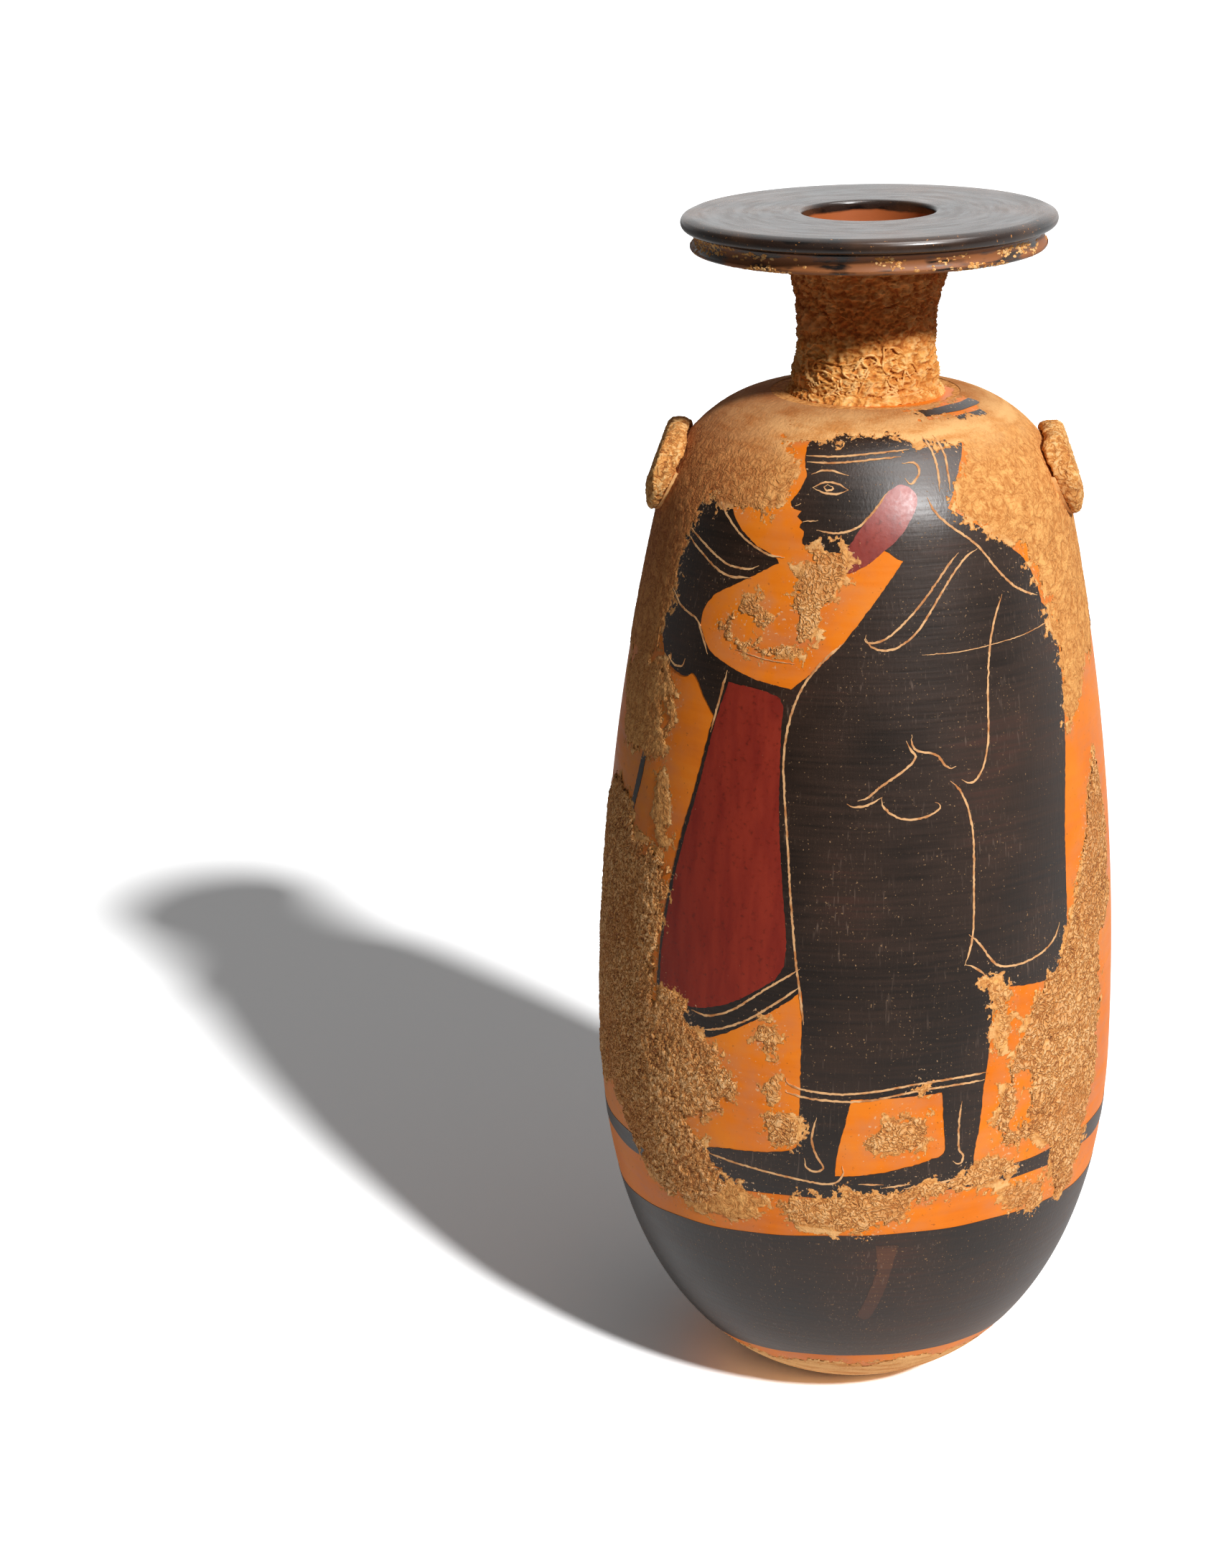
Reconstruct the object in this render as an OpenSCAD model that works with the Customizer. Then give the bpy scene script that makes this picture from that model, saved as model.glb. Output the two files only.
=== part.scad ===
// Alabastron: a tall round-bottomed oil flask of fired clay, in millimetres.
// The body, the neck and the mouth disc are thrown on the wheel one by one, the two lugs are
// shaped by hand, and beads of luting clay join them. +Z is up and the base stands on Z = 0.

/* [Body] */
// Height of the thrown body, from the base to the seat of the neck
body_h = 135.3; // [125:0.1:160]
// Radius of the flat face that the flask stands on
base_r = 9; // [8:0.1:12]
// Largest outside radius
belly_r = 34.4; // [31:0.1:40]
// Height of the largest radius above the base
belly_z = 47.5; // [40:0.1:58]
// Outside radius where the wall turns into the shoulder
shoulder_r = 26.2; // [24:0.1:29]
// Drop from the seat of the neck to the turn of the shoulder
shoulder_drop = 13.6; // [12:0.1:17]
// Inward lean of the wall at the turn of the shoulder, in degrees
shoulder_lean = 12.6; // [6:0.1:18]
// Radius of the flat land on the shoulder that carries the neck
land_r = 11.5; // [11:0.1:13]
// Thickness of the thrown wall
wall = 3.2; // [2.4:0.1:4.2]
// Thickness of the floor
floor_t = 5; // [3.5:0.1:8]
// Radius of the hole in the shoulder under the neck
neck_hole_r = 6.8; // [6:0.1:7.2]

/* [Body curve] */
// Outward reach of the curve as it leaves the base
heel_reach = 13; // [9:0.1:15]
// Rise of the curve as it leaves the base
heel_rise = 2.4; // [1:0.1:4]
// Pull that keeps the wall upright below the belly
lower_pull = 29; // [22:0.1:34]
// Pull that keeps the wall upright above the belly
upper_pull = 32.4; // [24:0.1:40]
// Pull along the wall below the turn of the shoulder
wall_pull = 18; // [12:0.1:24]
// Pull along the wall above the turn of the shoulder
turn_pull = 8.3; // [6:0.1:10]
// Pull along the flat top of the shoulder
crown_pull = 6; // [4:0.1:8]

/* [Neck] */
// Height of the neck, from its seat to the mouth disc
neck_h = 16.7; // [13:0.1:22]
// Outside radius of the straight foot of the neck
neck_foot_r = 9.1; // [8.7:0.1:9.6]
// Height of the straight foot of the neck
neck_foot_h = 1.6; // [1.4:0.1:3]
// Outside radius at the waist of the neck
neck_waist_r = 8.6; // [8.2:0.1:9.2]
// Height of the waist above the seat
neck_waist_z = 5.7; // [4.5:0.1:8]
// Outside radius where the neck meets the mouth disc
neck_top_r = 10.7; // [10.2:0.1:11]
// Inward reach of the flare's curve below the mouth disc
flare_reach = 1.8; // [1:0.1:2.2]
// Drop of the flare's curve below the mouth disc
flare_drop = 3.3; // [1.2:0.1:4.5]
// Thickness of the neck's wall at the waist
neck_wall = 2.2; // [1.6:0.1:2.6]

/* [Mouth disc] */
// Outside radius of the mouth disc
disc_r = 23.5; // [20:0.1:28]
// Thickness of the disc at the neck
disc_t = 6; // [5.4:0.1:8]
// Thickness of the disc at its edge
edge_t = 4.4; // [4:0.1:5.2]
// Radius of the rounded upper moulding
roll_r = 0.9; // [0.7:0.05:1.3]
// Width of the bevel between the top face and the upper moulding
bevel_w = 1; // [0.8:0.1:1.6]
// Inset of the lower moulding behind the upper one
step_in = 1.2; // [0.8:0.1:2]
// Radius of the hollow cut into the lower moulding
cavetto_r = 1.3; // [1:0.1:1.8]
// Depth of that hollow
cavetto_d = 0.45; // [0.2:0.05:0.7]
// Radius of the mouth's straight bore
mouth_r = 8.3; // [7.6:0.1:9]
// Rounding of the mouth's upper edge
lip_r = 0.5; // [0.3:0.05:1]

/* [Lugs] */
// Width of a lug across the shoulder
lug_w = 16.6; // [13:0.1:20]
// Height of a lug
lug_h = 10.2; // [9.4:0.1:13]
// Drop from the seat of the neck to the top of a lug
lug_drop = 4.6; // [4:0.1:6]
// Rounding of a lug's corners, seen from the side of the flask
lug_corner_r = 4.8; // [2.5:0.1:5]
// Radius of the rounded upper end in a lug's section
lug_top_r = 1.6; // [1.2:0.1:2]
// How far the upper end stands out from the shoulder beside it
lug_top_out = 2.8; // [2.4:0.1:3.6]
// Radius of the thick lower end in a lug's section
lug_low_r = 2; // [1.7:0.1:2.4]
// How far the lower end stands out from the wall beside it
lug_low_out = 1.9; // [1.5:0.1:2.6]

/* [Luting clay] */
// Thickness of the clay between a lug and the shoulder, which is also the slit left above it
lute_t = 0.5; // [0.3:0.05:0.8]
// Height of the luted stretch at a lug's lower end
lute_h = 5.6; // [4:0.1:7]
// Width of the bead round the neck's foot
bead_w = 0.9; // [0.7:0.1:1.6]
// Height of the bead round the neck's foot
bead_h = 1; // [0.7:0.1:1.4]

/* [Hidden] */

$fn = 96;
curve_steps = 16;

terracotta = "#D8701F";
buff_clay = "#B98A55";
black_gloss = "#2B2320";

shoulder_z = body_h - shoulder_drop;
neck_top_z = body_h + neck_h;
disc_top_z = neck_top_z + disc_t;
edge_under_z = disc_top_z - edge_t;
lug_top_z = body_h - lug_drop;
lug_bottom_z = lug_top_z - lug_h;
lug_low_z = lug_bottom_z + lug_low_r;
reach = belly_r + disc_r;

// Points of a cubic curve from a to d with handles b and c, without its first point
function cubic(a, b, c, d) = [
    for (i = [1 : curve_steps]) let (t = i / curve_steps, s = 1 - t)
        s * s * s * a + 3 * s * s * t * b + 3 * s * t * t * c + t * t * t * d
];

// Points of an arc round centre, anticlockwise between two angles
function arc(centre, r, start, end) = [
    for (i = [0 : curve_steps]) let (angle = start + (end - start) * i / curve_steps)
        centre + r * [cos(angle), sin(angle)]
];

function reversed(list) = [for (i = [len(list) - 1 : -1 : 0]) list[i]];

// Half outline of the thrown body from the base to the shoulder's land. grow moves it outwards,
// or inwards where it is negative, and base_z is the height at which it starts.
function body_curve(grow, base_z) = let (
    along = [-sin(shoulder_lean), cos(shoulder_lean)],
    outwards = [cos(shoulder_lean), sin(shoulder_lean)],
    base = [base_r + grow / 4, base_z],
    belly = [belly_r + grow, belly_z],
    turn = [shoulder_r, shoulder_z] + grow * outwards,
    crown = [land_r, body_h + grow]
) concat(
    [base],
    cubic(base, base + [heel_reach, heel_rise], belly - [0, lower_pull], belly),
    cubic(belly, belly + [0, upper_pull], turn - wall_pull * along, turn),
    cubic(turn, turn + turn_pull * along, crown + [crown_pull, 0], crown)
);

// Radius of the body's outside, grown by grow, at height z
function shoulder_radius(z, grow) = lookup(z, [for (p = body_curve(grow, 0)) [p[1], p[0]]]);

// Filled half section of the body, grown by grow, out to the axis
module body_section(grow) {
    polygon(concat([[0, 0]], body_curve(grow, 0), [[0, body_h + grow]]));
}

module body() {
    color(terracotta)
    rotate_extrude()
    polygon(concat(
        [[0, 0]],
        body_curve(0, 0),
        [[neck_hole_r, body_h], [neck_hole_r, body_h - wall]],
        reversed(body_curve(-wall, floor_t)),
        [[0, floor_t]]
    ));
}

// A tube with a straight foot, a waist and a flare that takes in the mouth's bore
module neck() {
    foot = [neck_foot_r, body_h];
    shin = foot + [0, neck_foot_h];
    waist = [neck_waist_r, body_h + neck_waist_z];
    top = [neck_top_r, neck_top_z];
    inner_foot = [neck_hole_r, body_h];
    inner_waist = waist - [neck_wall, 0];
    inner_top = [mouth_r, neck_top_z];
    low_pull = (neck_waist_z - neck_foot_h) / 2;
    high_pull = (neck_h - neck_waist_z) / 2;
    color(buff_clay)
    rotate_extrude()
    polygon(concat(
        [inner_foot, foot, shin],
        cubic(shin, shin + [0, low_pull], waist - [0, low_pull], waist),
        cubic(waist, waist + [0, high_pull], top - [flare_reach, flare_drop], top),
        reversed(concat(
            cubic(inner_foot, inner_foot + [0, low_pull], inner_waist - [0, low_pull], inner_waist),
            cubic(inner_waist, inner_waist + [0, high_pull], inner_top - [0, high_pull], inner_top)
        ))
    ));
}

// Half section of the mouth disc: a flat top, a rounded upper moulding, and a hollow lower one
module disc_section() {
    roll_centre = [disc_r - roll_r, disc_top_z - bevel_w];
    lower_r = disc_r - step_in;
    cavetto_z = (edge_under_z + roll_centre[1] - roll_r) / 2;
    difference() {
        union() {
            polygon([
                [mouth_r, neck_top_z],
                [neck_top_r, neck_top_z],
                [lower_r, edge_under_z],
                [lower_r, roll_centre[1]],
                roll_centre,
                roll_centre + roll_r * [cos(45), sin(45)],
                [disc_r - bevel_w, disc_top_z],
                [mouth_r + lip_r, disc_top_z],
                [mouth_r, disc_top_z - lip_r]
            ]);
            translate(roll_centre) circle(roll_r);
            translate([mouth_r + lip_r, disc_top_z - lip_r]) circle(lip_r);
        }
        translate([lower_r + cavetto_r - cavetto_d, cavetto_z]) circle(cavetto_r);
    }
}

module mouth_disc() {
    color(black_gloss) rotate_extrude() disc_section();
}

// Bead of luting clay with a hollow face, in the corner between the neck's foot and the shoulder
module neck_bead() {
    corner = [neck_foot_r, body_h];
    color(buff_clay)
    rotate_extrude()
    polygon(concat(
        [corner, corner + [bead_w, 0]],
        cubic(corner + [bead_w, 0], corner + [bead_w / 2, bead_h / 8],
              corner + [bead_w / 8, bead_h / 2], corner + [0, bead_h])
    ));
}

// Outline of a lug as seen from the side of the flask
module lug_outline() {
    flat_w = lug_w - 2 * lug_corner_r;
    flat_h = lug_h - 2 * lug_corner_r;
    translate([-flat_w / 2, 0]) square([flat_w, lug_h]);
    translate([-lug_w / 2, lug_corner_r]) square([lug_w, flat_h]);
    for (side = [-1, 1], end = [0, 1])
        translate([side * flat_w / 2, lug_corner_r + end * flat_h]) circle(lug_corner_r);
}

// Straight prism of that outline, from the axis outwards along +X
module lug_prism() {
    translate([0, 0, lug_bottom_z]) rotate([90, 0, 90]) linear_extrude(reach) lug_outline();
}

// Side section of a lug: a slim upper end and a thick lower end, with straight faces between them
module lug_section() {
    top = [shoulder_radius(lug_top_z - lug_top_r, 0) + lug_top_out - lug_top_r, lug_top_z - lug_top_r];
    low = [shoulder_radius(lug_low_z, 0) + lug_low_out - lug_low_r, lug_low_z];
    run = low - top;
    heading = atan2(run[1], run[0]);
    spread = acos((lug_top_r - lug_low_r) / norm(run));
    polygon(concat(
        arc(top, lug_top_r, heading + spread, heading - spread + 360),
        arc(low, lug_low_r, heading - spread + 360, heading + spread + 360)
    ));
}

// One lug on the +X side. Its lower end is rounded about the flask's axis, and its back is hollowed
// to stand off the shoulder by the luting clay.
module lug() {
    color(buff_clay)
    difference() {
        intersection() {
            rotate([90, 0, 0]) linear_extrude(lug_w, center = true) lug_section();
            lug_prism();
            cylinder(h = body_h, r = shoulder_radius(lug_low_z, 0) + lug_low_out);
        }
        rotate_extrude() body_section(lute_t);
    }
}

// The luting clay behind the lower end of that lug
module lug_lute() {
    color(terracotta)
    intersection() {
        rotate_extrude()
        difference() {
            body_section(lute_t);
            body_section(0);
            square([reach, lug_bottom_z]);
            translate([0, lug_bottom_z + lute_h]) square([reach, body_h]);
        }
        lug_prism();
    }
}

body();
neck();
mouth_disc();
neck_bead();
rotate(180) lug();  // left_lug
lug();  // right_lug
rotate(180) lug_lute();  // left_lug_lute
lug_lute();  // right_lug_lute
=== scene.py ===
"""Looks of a black-figure alabastron: thrown clay, painted slip, incised lines and burial crust.

Sizes are in millimetres until a mesh is written. A place on the wall is (x, v): x runs round the flask from
its front, as true length at that height, and v runs up the wall's own curve and equals the height at the
belly.
"""

import logging
import math
from collections.abc import Callable
from dataclasses import dataclass, field
from enum import Enum
from functools import partial

import bmesh
import bpy
import numpy as np
from mathutils import Matrix, Vector
from mathutils.geometry import delaunay_2d_cdt


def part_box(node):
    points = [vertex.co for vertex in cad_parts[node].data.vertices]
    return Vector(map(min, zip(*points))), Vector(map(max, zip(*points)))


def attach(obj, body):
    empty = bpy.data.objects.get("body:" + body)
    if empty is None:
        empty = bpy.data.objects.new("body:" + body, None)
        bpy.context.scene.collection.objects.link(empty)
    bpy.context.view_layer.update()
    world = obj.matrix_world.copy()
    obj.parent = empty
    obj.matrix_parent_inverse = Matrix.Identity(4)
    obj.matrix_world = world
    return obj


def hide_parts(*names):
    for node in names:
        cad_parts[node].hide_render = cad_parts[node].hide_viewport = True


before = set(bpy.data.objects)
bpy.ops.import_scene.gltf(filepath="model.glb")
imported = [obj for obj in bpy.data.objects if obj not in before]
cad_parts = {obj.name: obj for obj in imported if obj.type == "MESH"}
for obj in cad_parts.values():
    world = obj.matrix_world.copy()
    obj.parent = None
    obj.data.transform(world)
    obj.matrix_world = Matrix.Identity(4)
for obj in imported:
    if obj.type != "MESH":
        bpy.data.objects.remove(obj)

LOG = logging.getLogger("alabastron")
MM = 0.001
ROOT = "root"
PHOTO_H = 2184
# Size of the tears in the crust's edge, and how far each moves it.
TEARS = ((5.0, 1.3), (1.8, 1.3), (0.6, 0.8))
SHARP_ANGLE = math.radians(48.0)
# Distance from the crust's edge that stands for far inside or, below zero, far outside.
FAR = 20.0
# How far the neck's top runs into the disc.
NECK_OVERLAP = 0.25
# Index of refraction of sintered slip, which is close to glass.
SLIP_IOR = 1.55

Node = bpy.types.Node
Socket = bpy.types.NodeSocket
Material = bpy.types.Material
Thing = bpy.types.Object
Source = Node | Socket
Adder = Callable[..., Node]
Inputs = dict[str, object]
Faces = list[list[int]]
Point = tuple[float, float]
Stroke = list[Point]
Triple = tuple[float, float, float]


class Slot(Enum):
    """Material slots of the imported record."""

    PAINTED = "painted_clay"
    CRUSTED = "crusted_clay"
    BLACK = "black_gloss"


class Kind(Enum):
    """Nodes in use: each one's type and the settings that go with it."""

    ADD = ("ShaderNodeMath", {"operation": "ADD"})
    SUBTRACT = ("ShaderNodeMath", {"operation": "SUBTRACT"})
    MULTIPLY = ("ShaderNodeMath", {"operation": "MULTIPLY"})
    DIVIDE = ("ShaderNodeMath", {"operation": "DIVIDE"})
    MULTIPLY_ADD = ("ShaderNodeMath", {"operation": "MULTIPLY_ADD"})
    ABSOLUTE = ("ShaderNodeMath", {"operation": "ABSOLUTE"})
    MAXIMUM = ("ShaderNodeMath", {"operation": "MAXIMUM"})
    ARCTAN2 = ("ShaderNodeMath", {"operation": "ARCTAN2"})
    LENGTH = ("ShaderNodeVectorMath", {"operation": "LENGTH"})
    DOT = ("ShaderNodeVectorMath", {"operation": "DOT_PRODUCT"})
    SCALE = ("ShaderNodeVectorMath", {"operation": "SCALE"})
    STRETCH = ("ShaderNodeVectorMath", {"operation": "MULTIPLY"})
    BEND = ("ShaderNodeVectorMath", {"operation": "MULTIPLY_ADD"})
    RANGE = ("ShaderNodeMapRange", {})
    EASE = ("ShaderNodeMapRange", {"interpolation_type": "SMOOTHSTEP"})
    MIX = ("ShaderNodeMix", {})
    BLEND = ("ShaderNodeMix", {"data_type": "RGBA"})
    TINT = ("ShaderNodeMix", {"data_type": "RGBA", "blend_type": "MULTIPLY"})
    NOISE = ("ShaderNodeTexNoise", {})
    SEEDED_NOISE = ("ShaderNodeTexNoise", {"noise_dimensions": "4D"})
    RAMP = ("ShaderNodeValToRGB", {})
    BUMP = ("ShaderNodeBump", {})
    COORDINATES = ("ShaderNodeTexCoord", {})
    MAPPING = ("ShaderNodeMapping", {})
    SPLIT = ("ShaderNodeSeparateXYZ", {})
    JOIN = ("ShaderNodeCombineXYZ", {})
    ATTRIBUTE = ("ShaderNodeAttribute", {})
    RAY = ("ShaderNodeLightPath", {})
    DIFFUSE = ("ShaderNodeBsdfDiffuse", {})
    GROUP_INPUT = ("NodeGroupInput", {})
    GROUP_OUTPUT = ("NodeGroupOutput", {})
    POSITION = ("GeometryNodeInputPosition", {})
    NORMAL = ("GeometryNodeInputNormal", {})
    READ = ("GeometryNodeInputNamedAttribute", {"data_type": "FLOAT"})
    STORE = ("GeometryNodeStoreNamedAttribute", {"data_type": "FLOAT", "domain": "POINT"})
    MOVE = ("GeometryNodeSetPosition", {})
    LESS = ("FunctionNodeCompare", {"operation": "LESS_THAN"})
    MORE = ("FunctionNodeCompare", {"operation": "GREATER_THAN"})
    BOTH = ("FunctionNodeBooleanMath", {"operation": "AND"})
    DELETE = ("GeometryNodeDeleteGeometry", {"domain": "POINT"})
    REALIZE = ("GeometryNodeRealizeInstances", {})
    DRESS = ("GeometryNodeSetMaterial", {})
    PATH = ("GeometryNodeMeshToCurve", {})
    CIRCLE = ("GeometryNodeCurvePrimitiveCircle", {})
    TUBE = ("GeometryNodeCurveToMesh", {})
    SCATTER = ("GeometryNodeDistributePointsOnFaces", {})
    GRAIN = ("GeometryNodeMeshIcoSphere", {})
    RANDOM = ("FunctionNodeRandomValue", {"data_type": "FLOAT_VECTOR"})
    INSTANCE = ("GeometryNodeInstanceOnPoints", {})


def srgb(code: str) -> tuple[float, float, float, float]:
    """Turn an sRGB hex code, six digits after a hash, into linear colour with an alpha of one."""
    parts = [int(code[i:i + 2], 16) / 255 for i in (1, 3, 5)]
    return (*(c / 12.92 if c <= 0.04045 else ((c + 0.055) / 1.055) ** 2.4 for c in parts), 1.0)


def plug(tree: bpy.types.NodeTree, socket: Socket, value: object) -> None:
    """Link an input, or set its value.

    Args:
        tree: Tree that holds the input.
        socket: The input.
        value: Socket, or node whose first output in use counts, to link from; hex code; or plain value.
    """
    if isinstance(value, Node):
        value = next(output for output in value.outputs if output.enabled)
    if isinstance(value, Socket):
        tree.links.new(value, socket)
    else:
        socket.default_value = srgb(value) if isinstance(value, str) and value.startswith("#") else value


def add_node(tree: bpy.types.NodeTree, kind: Kind, *values: object, named: Inputs | None = None,
             **settings: object) -> Node:
    """Add one node with its settings, values and links.

    Args:
        tree: Tree that the node joins.
        kind: Node's type and usual settings.
        *values: Value or source of each input in use, in order.
        named: Value or source of inputs by name.
        **settings: Further properties of the node.

    Returns:
        The new node.
    """
    node_type, usual = kind.value
    node = tree.nodes.new(node_type)
    for key, value in {**usual, **settings}.items():
        setattr(node, key, value)
    in_use = [socket for socket in node.inputs if socket.enabled]
    for socket, value in zip(in_use, values):
        plug(tree, socket, value)
    for key, value in (named or {}).items():
        plug(tree, node.inputs[key], value)
    return node


def set_ramp(node: Node, *stops: tuple[float, str]) -> Node:
    """Give a colour ramp its stops.

    Args:
        node: Colour ramp node.
        *stops: Place from 0 to 1 and sRGB hex code of each stop.

    Returns:
        The same node.
    """
    elements = node.color_ramp.elements
    while len(elements) < len(stops):
        elements.new(1.0)
    for element, (place, code) in zip(elements, stops):
        element.position = place
        element.color = srgb(code)
    return node


def start_material(name: str) -> tuple[Material, Adder, Socket]:
    """Start a material.

    Args:
        name: Common name of the real material.

    Returns:
        The material, what adds a node to it, and the socket with the place on the object.
    """
    material = bpy.data.materials.new(name)
    material.use_nodes = True
    add = partial(add_node, material.node_tree)
    return material, add, add(Kind.COORDINATES).outputs["Object"]


def shade(material: Material, inputs: Inputs) -> Material:
    """Set or link inputs of a material's shader.

    Args:
        material: Material with the usual shader.
        inputs: Value or source of each input by name.

    Returns:
        The same material.
    """
    for name, value in inputs.items():
        plug(material.node_tree, material.node_tree.nodes["Principled BSDF"].inputs[name], value)
    return material


def per_size(size_mm: float) -> float:
    """Scale of a texture whose features are this many millimetres across."""
    return 1.0 / (size_mm * MM)


def cubic(a: np.ndarray, b: np.ndarray, c: np.ndarray, d: np.ndarray, steps: int) -> np.ndarray:
    """Points of a cubic curve, without its first one.

    Args:
        a: Start.
        b: Handle of the start.
        c: Handle of the end.
        d: End.
        steps: Number of points.

    Returns:
        Array of points, one a row.
    """
    t = np.linspace(0.0, 1.0, steps + 1)[1:, None]
    s = 1.0 - t
    return s ** 3 * a + 3 * s * s * t * b + 3 * s * t * t * c + t ** 3 * d


def flow(knots: Stroke, step: float) -> np.ndarray:
    """Smooth curve through knots, at even steps.

    Args:
        knots: Points that the curve passes through.
        step: Distance between the points that come back.

    Returns:
        Array of points, one a row, with the first and last knot as its ends.
    """
    p = np.array(knots, float)
    if len(p) > 2:
        p = np.vstack([2 * p[0] - p[1], p, 2 * p[-1] - p[-2]])
        t = np.linspace(0.0, 1.0, 13)[:-1, None]
        spans = []
        for a, b, c, d in zip(p[:-3], p[1:-2], p[2:-1], p[3:]):
            spans.append(0.5 * (2 * b + (c - a) * t + (2 * a - 5 * b + 4 * c - d) * t ** 2
                                + (3 * b - a - 3 * c + d) * t ** 3))
        p = np.vstack([*spans, p[-2:-1]])
    along = np.concatenate([[0.0], np.cumsum(np.hypot(*np.diff(p, axis=0).T))])
    wanted = np.linspace(0.0, along[-1], max(2, round(along[-1] / step) + 1))
    return np.column_stack([np.interp(wanted, along, p[:, 0]), np.interp(wanted, along, p[:, 1])])


def inside(points: np.ndarray, ring: np.ndarray) -> np.ndarray:
    """Tell which points lie inside a closed outline.

    Args:
        points: Points to test, one a row.
        ring: Outline's points, one a row.

    Returns:
        One truth value for each point.
    """
    x, y = points[:, 0, None], points[:, 1, None]
    x0, y0 = ring[:, 0], ring[:, 1]
    x1, y1 = np.roll(x0, -1), np.roll(y0, -1)
    crosses = (y0 > y) != (y1 > y)
    with np.errstate(divide="ignore", invalid="ignore"):
        reach = (x1 - x0) * (y - y0) / (y1 - y0) + x0
    return (np.sum(crosses & (x < reach), axis=1) % 2) == 1


def stand(name: str, data: bpy.types.ID) -> Thing:
    """Link a new object with this data, at the origin.

    Args:
        name: Object's name.
        data: Mesh, lamp or camera.

    Returns:
        The object.
    """
    thing = bpy.data.objects.new(name, data)
    bpy.context.scene.collection.objects.link(thing)
    return thing


class MeshBuilder:
    """Gathers points and faces into one mesh."""

    def __init__(self) -> None:
        """Start with nothing."""
        self.points: list[np.ndarray] = []
        self.faces: Faces = []
        self.count = 0

    def add(self, points: np.ndarray, faces: Faces) -> "MeshBuilder":
        """Add a shape.

        Args:
            points: Places in millimetres, one a row.
            faces: Point numbers of each face, within this shape.

        Returns:
            The builder itself.
        """
        self.faces.extend([[i + self.count for i in face] for face in faces])
        self.points.append(points)
        self.count += len(points)
        return self

    def build(self, name: str, material: Material, smooth: bool = True) -> Thing:
        """Make the object.

        Args:
            name: Name of the object and its mesh.
            material: Finish of all its faces.
            smooth: Whether the faces are shaded smooth.

        Returns:
            The linked object, at the origin.
        """
        mesh = bpy.data.meshes.new(name)
        mesh.from_pydata((np.vstack(self.points) * MM).tolist(), [], self.faces)
        mesh.polygons.foreach_set("use_smooth", [smooth] * len(mesh.polygons))
        mesh.materials.append(material)
        mesh.update()
        mesh.set_sharp_from_angle(angle=SHARP_ANGLE)
        return stand(name, mesh)


def lathe(profile: np.ndarray, segments: int) -> tuple[np.ndarray, Faces]:
    """Turn a closed half section round the axis.

    Args:
        profile: Radius and height of each point, anticlockwise. It may start and end on the axis.
        segments: Number of steps round the axis.

    Returns:
        Points and faces of the closed solid, with the faces pointing outwards.
    """
    on_axis = profile[0, 0] < 1e-6
    rings = profile[1:-1] if on_axis else profile
    angles = np.arange(segments) * 2 * math.pi / segments
    circle = np.column_stack([np.sin(angles), -np.cos(angles)])
    points = np.concatenate([np.column_stack([circle * r, np.full(segments, z)]) for r, z in rings])
    rows = len(rings) - 1 if on_axis else len(rings)
    faces = []
    for row in range(rows):
        low, high = row * segments, (row + 1) % len(rings) * segments
        for i in range(segments):
            j = (i + 1) % segments
            faces.append([low + i, low + j, high + j, high + i])
    if on_axis:
        first, last = len(points), len(points) + 1
        points = np.vstack([points, [0, 0, profile[0, 1]], [0, 0, profile[-1, 1]]])
        top = rows * segments
        for i in range(segments):
            j = (i + 1) % segments
            faces += [[first, j, i], [last, top + i, top + j]]
    return points, faces


def settle(thing: Thing) -> None:
    """Turn an object's live modifiers into its plain mesh.

    Args:
        thing: Object with the modifiers.
    """
    depsgraph = bpy.context.evaluated_depsgraph_get()
    mesh = bpy.data.meshes.new_from_object(thing.evaluated_get(depsgraph), depsgraph=depsgraph)
    thing.modifiers.clear()
    thing.data = mesh


def finish_piece(thing: Thing, slot: Slot, *nodes: str) -> None:
    """Hand a piece to the frame and report it.

    Args:
        thing: Finished piece at the origin.
        slot: Record's material slot. It is not used.
        *nodes: Nodes of the frame that it stands for.
    """
    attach(thing, ROOT)
    if nodes:
        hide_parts(*nodes)
    LOG.info("%s: %d faces", thing.name, len(thing.data.polygons))


def mark(thing: Thing, name: str, values: np.ndarray) -> None:
    """Store one length in millimetres a point on a mesh, under a name."""
    layer = thing.data.attributes.get(name) or thing.data.attributes.new(name, "FLOAT", "POINT")
    layer.data.foreach_set("value", (values * MM).astype(np.float32))


def mark_crumbs(thing: Thing, relief: float) -> None:
    """Mark loose bits of crust as thick.

    Args:
        thing: Object with the bits.
        relief: Their even relief, from 0 to 1.
    """
    count = len(thing.data.vertices)
    mark(thing, "relief", np.full(count, relief / MM))
    mark(thing, "depth", np.full(count, 0.5))


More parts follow.
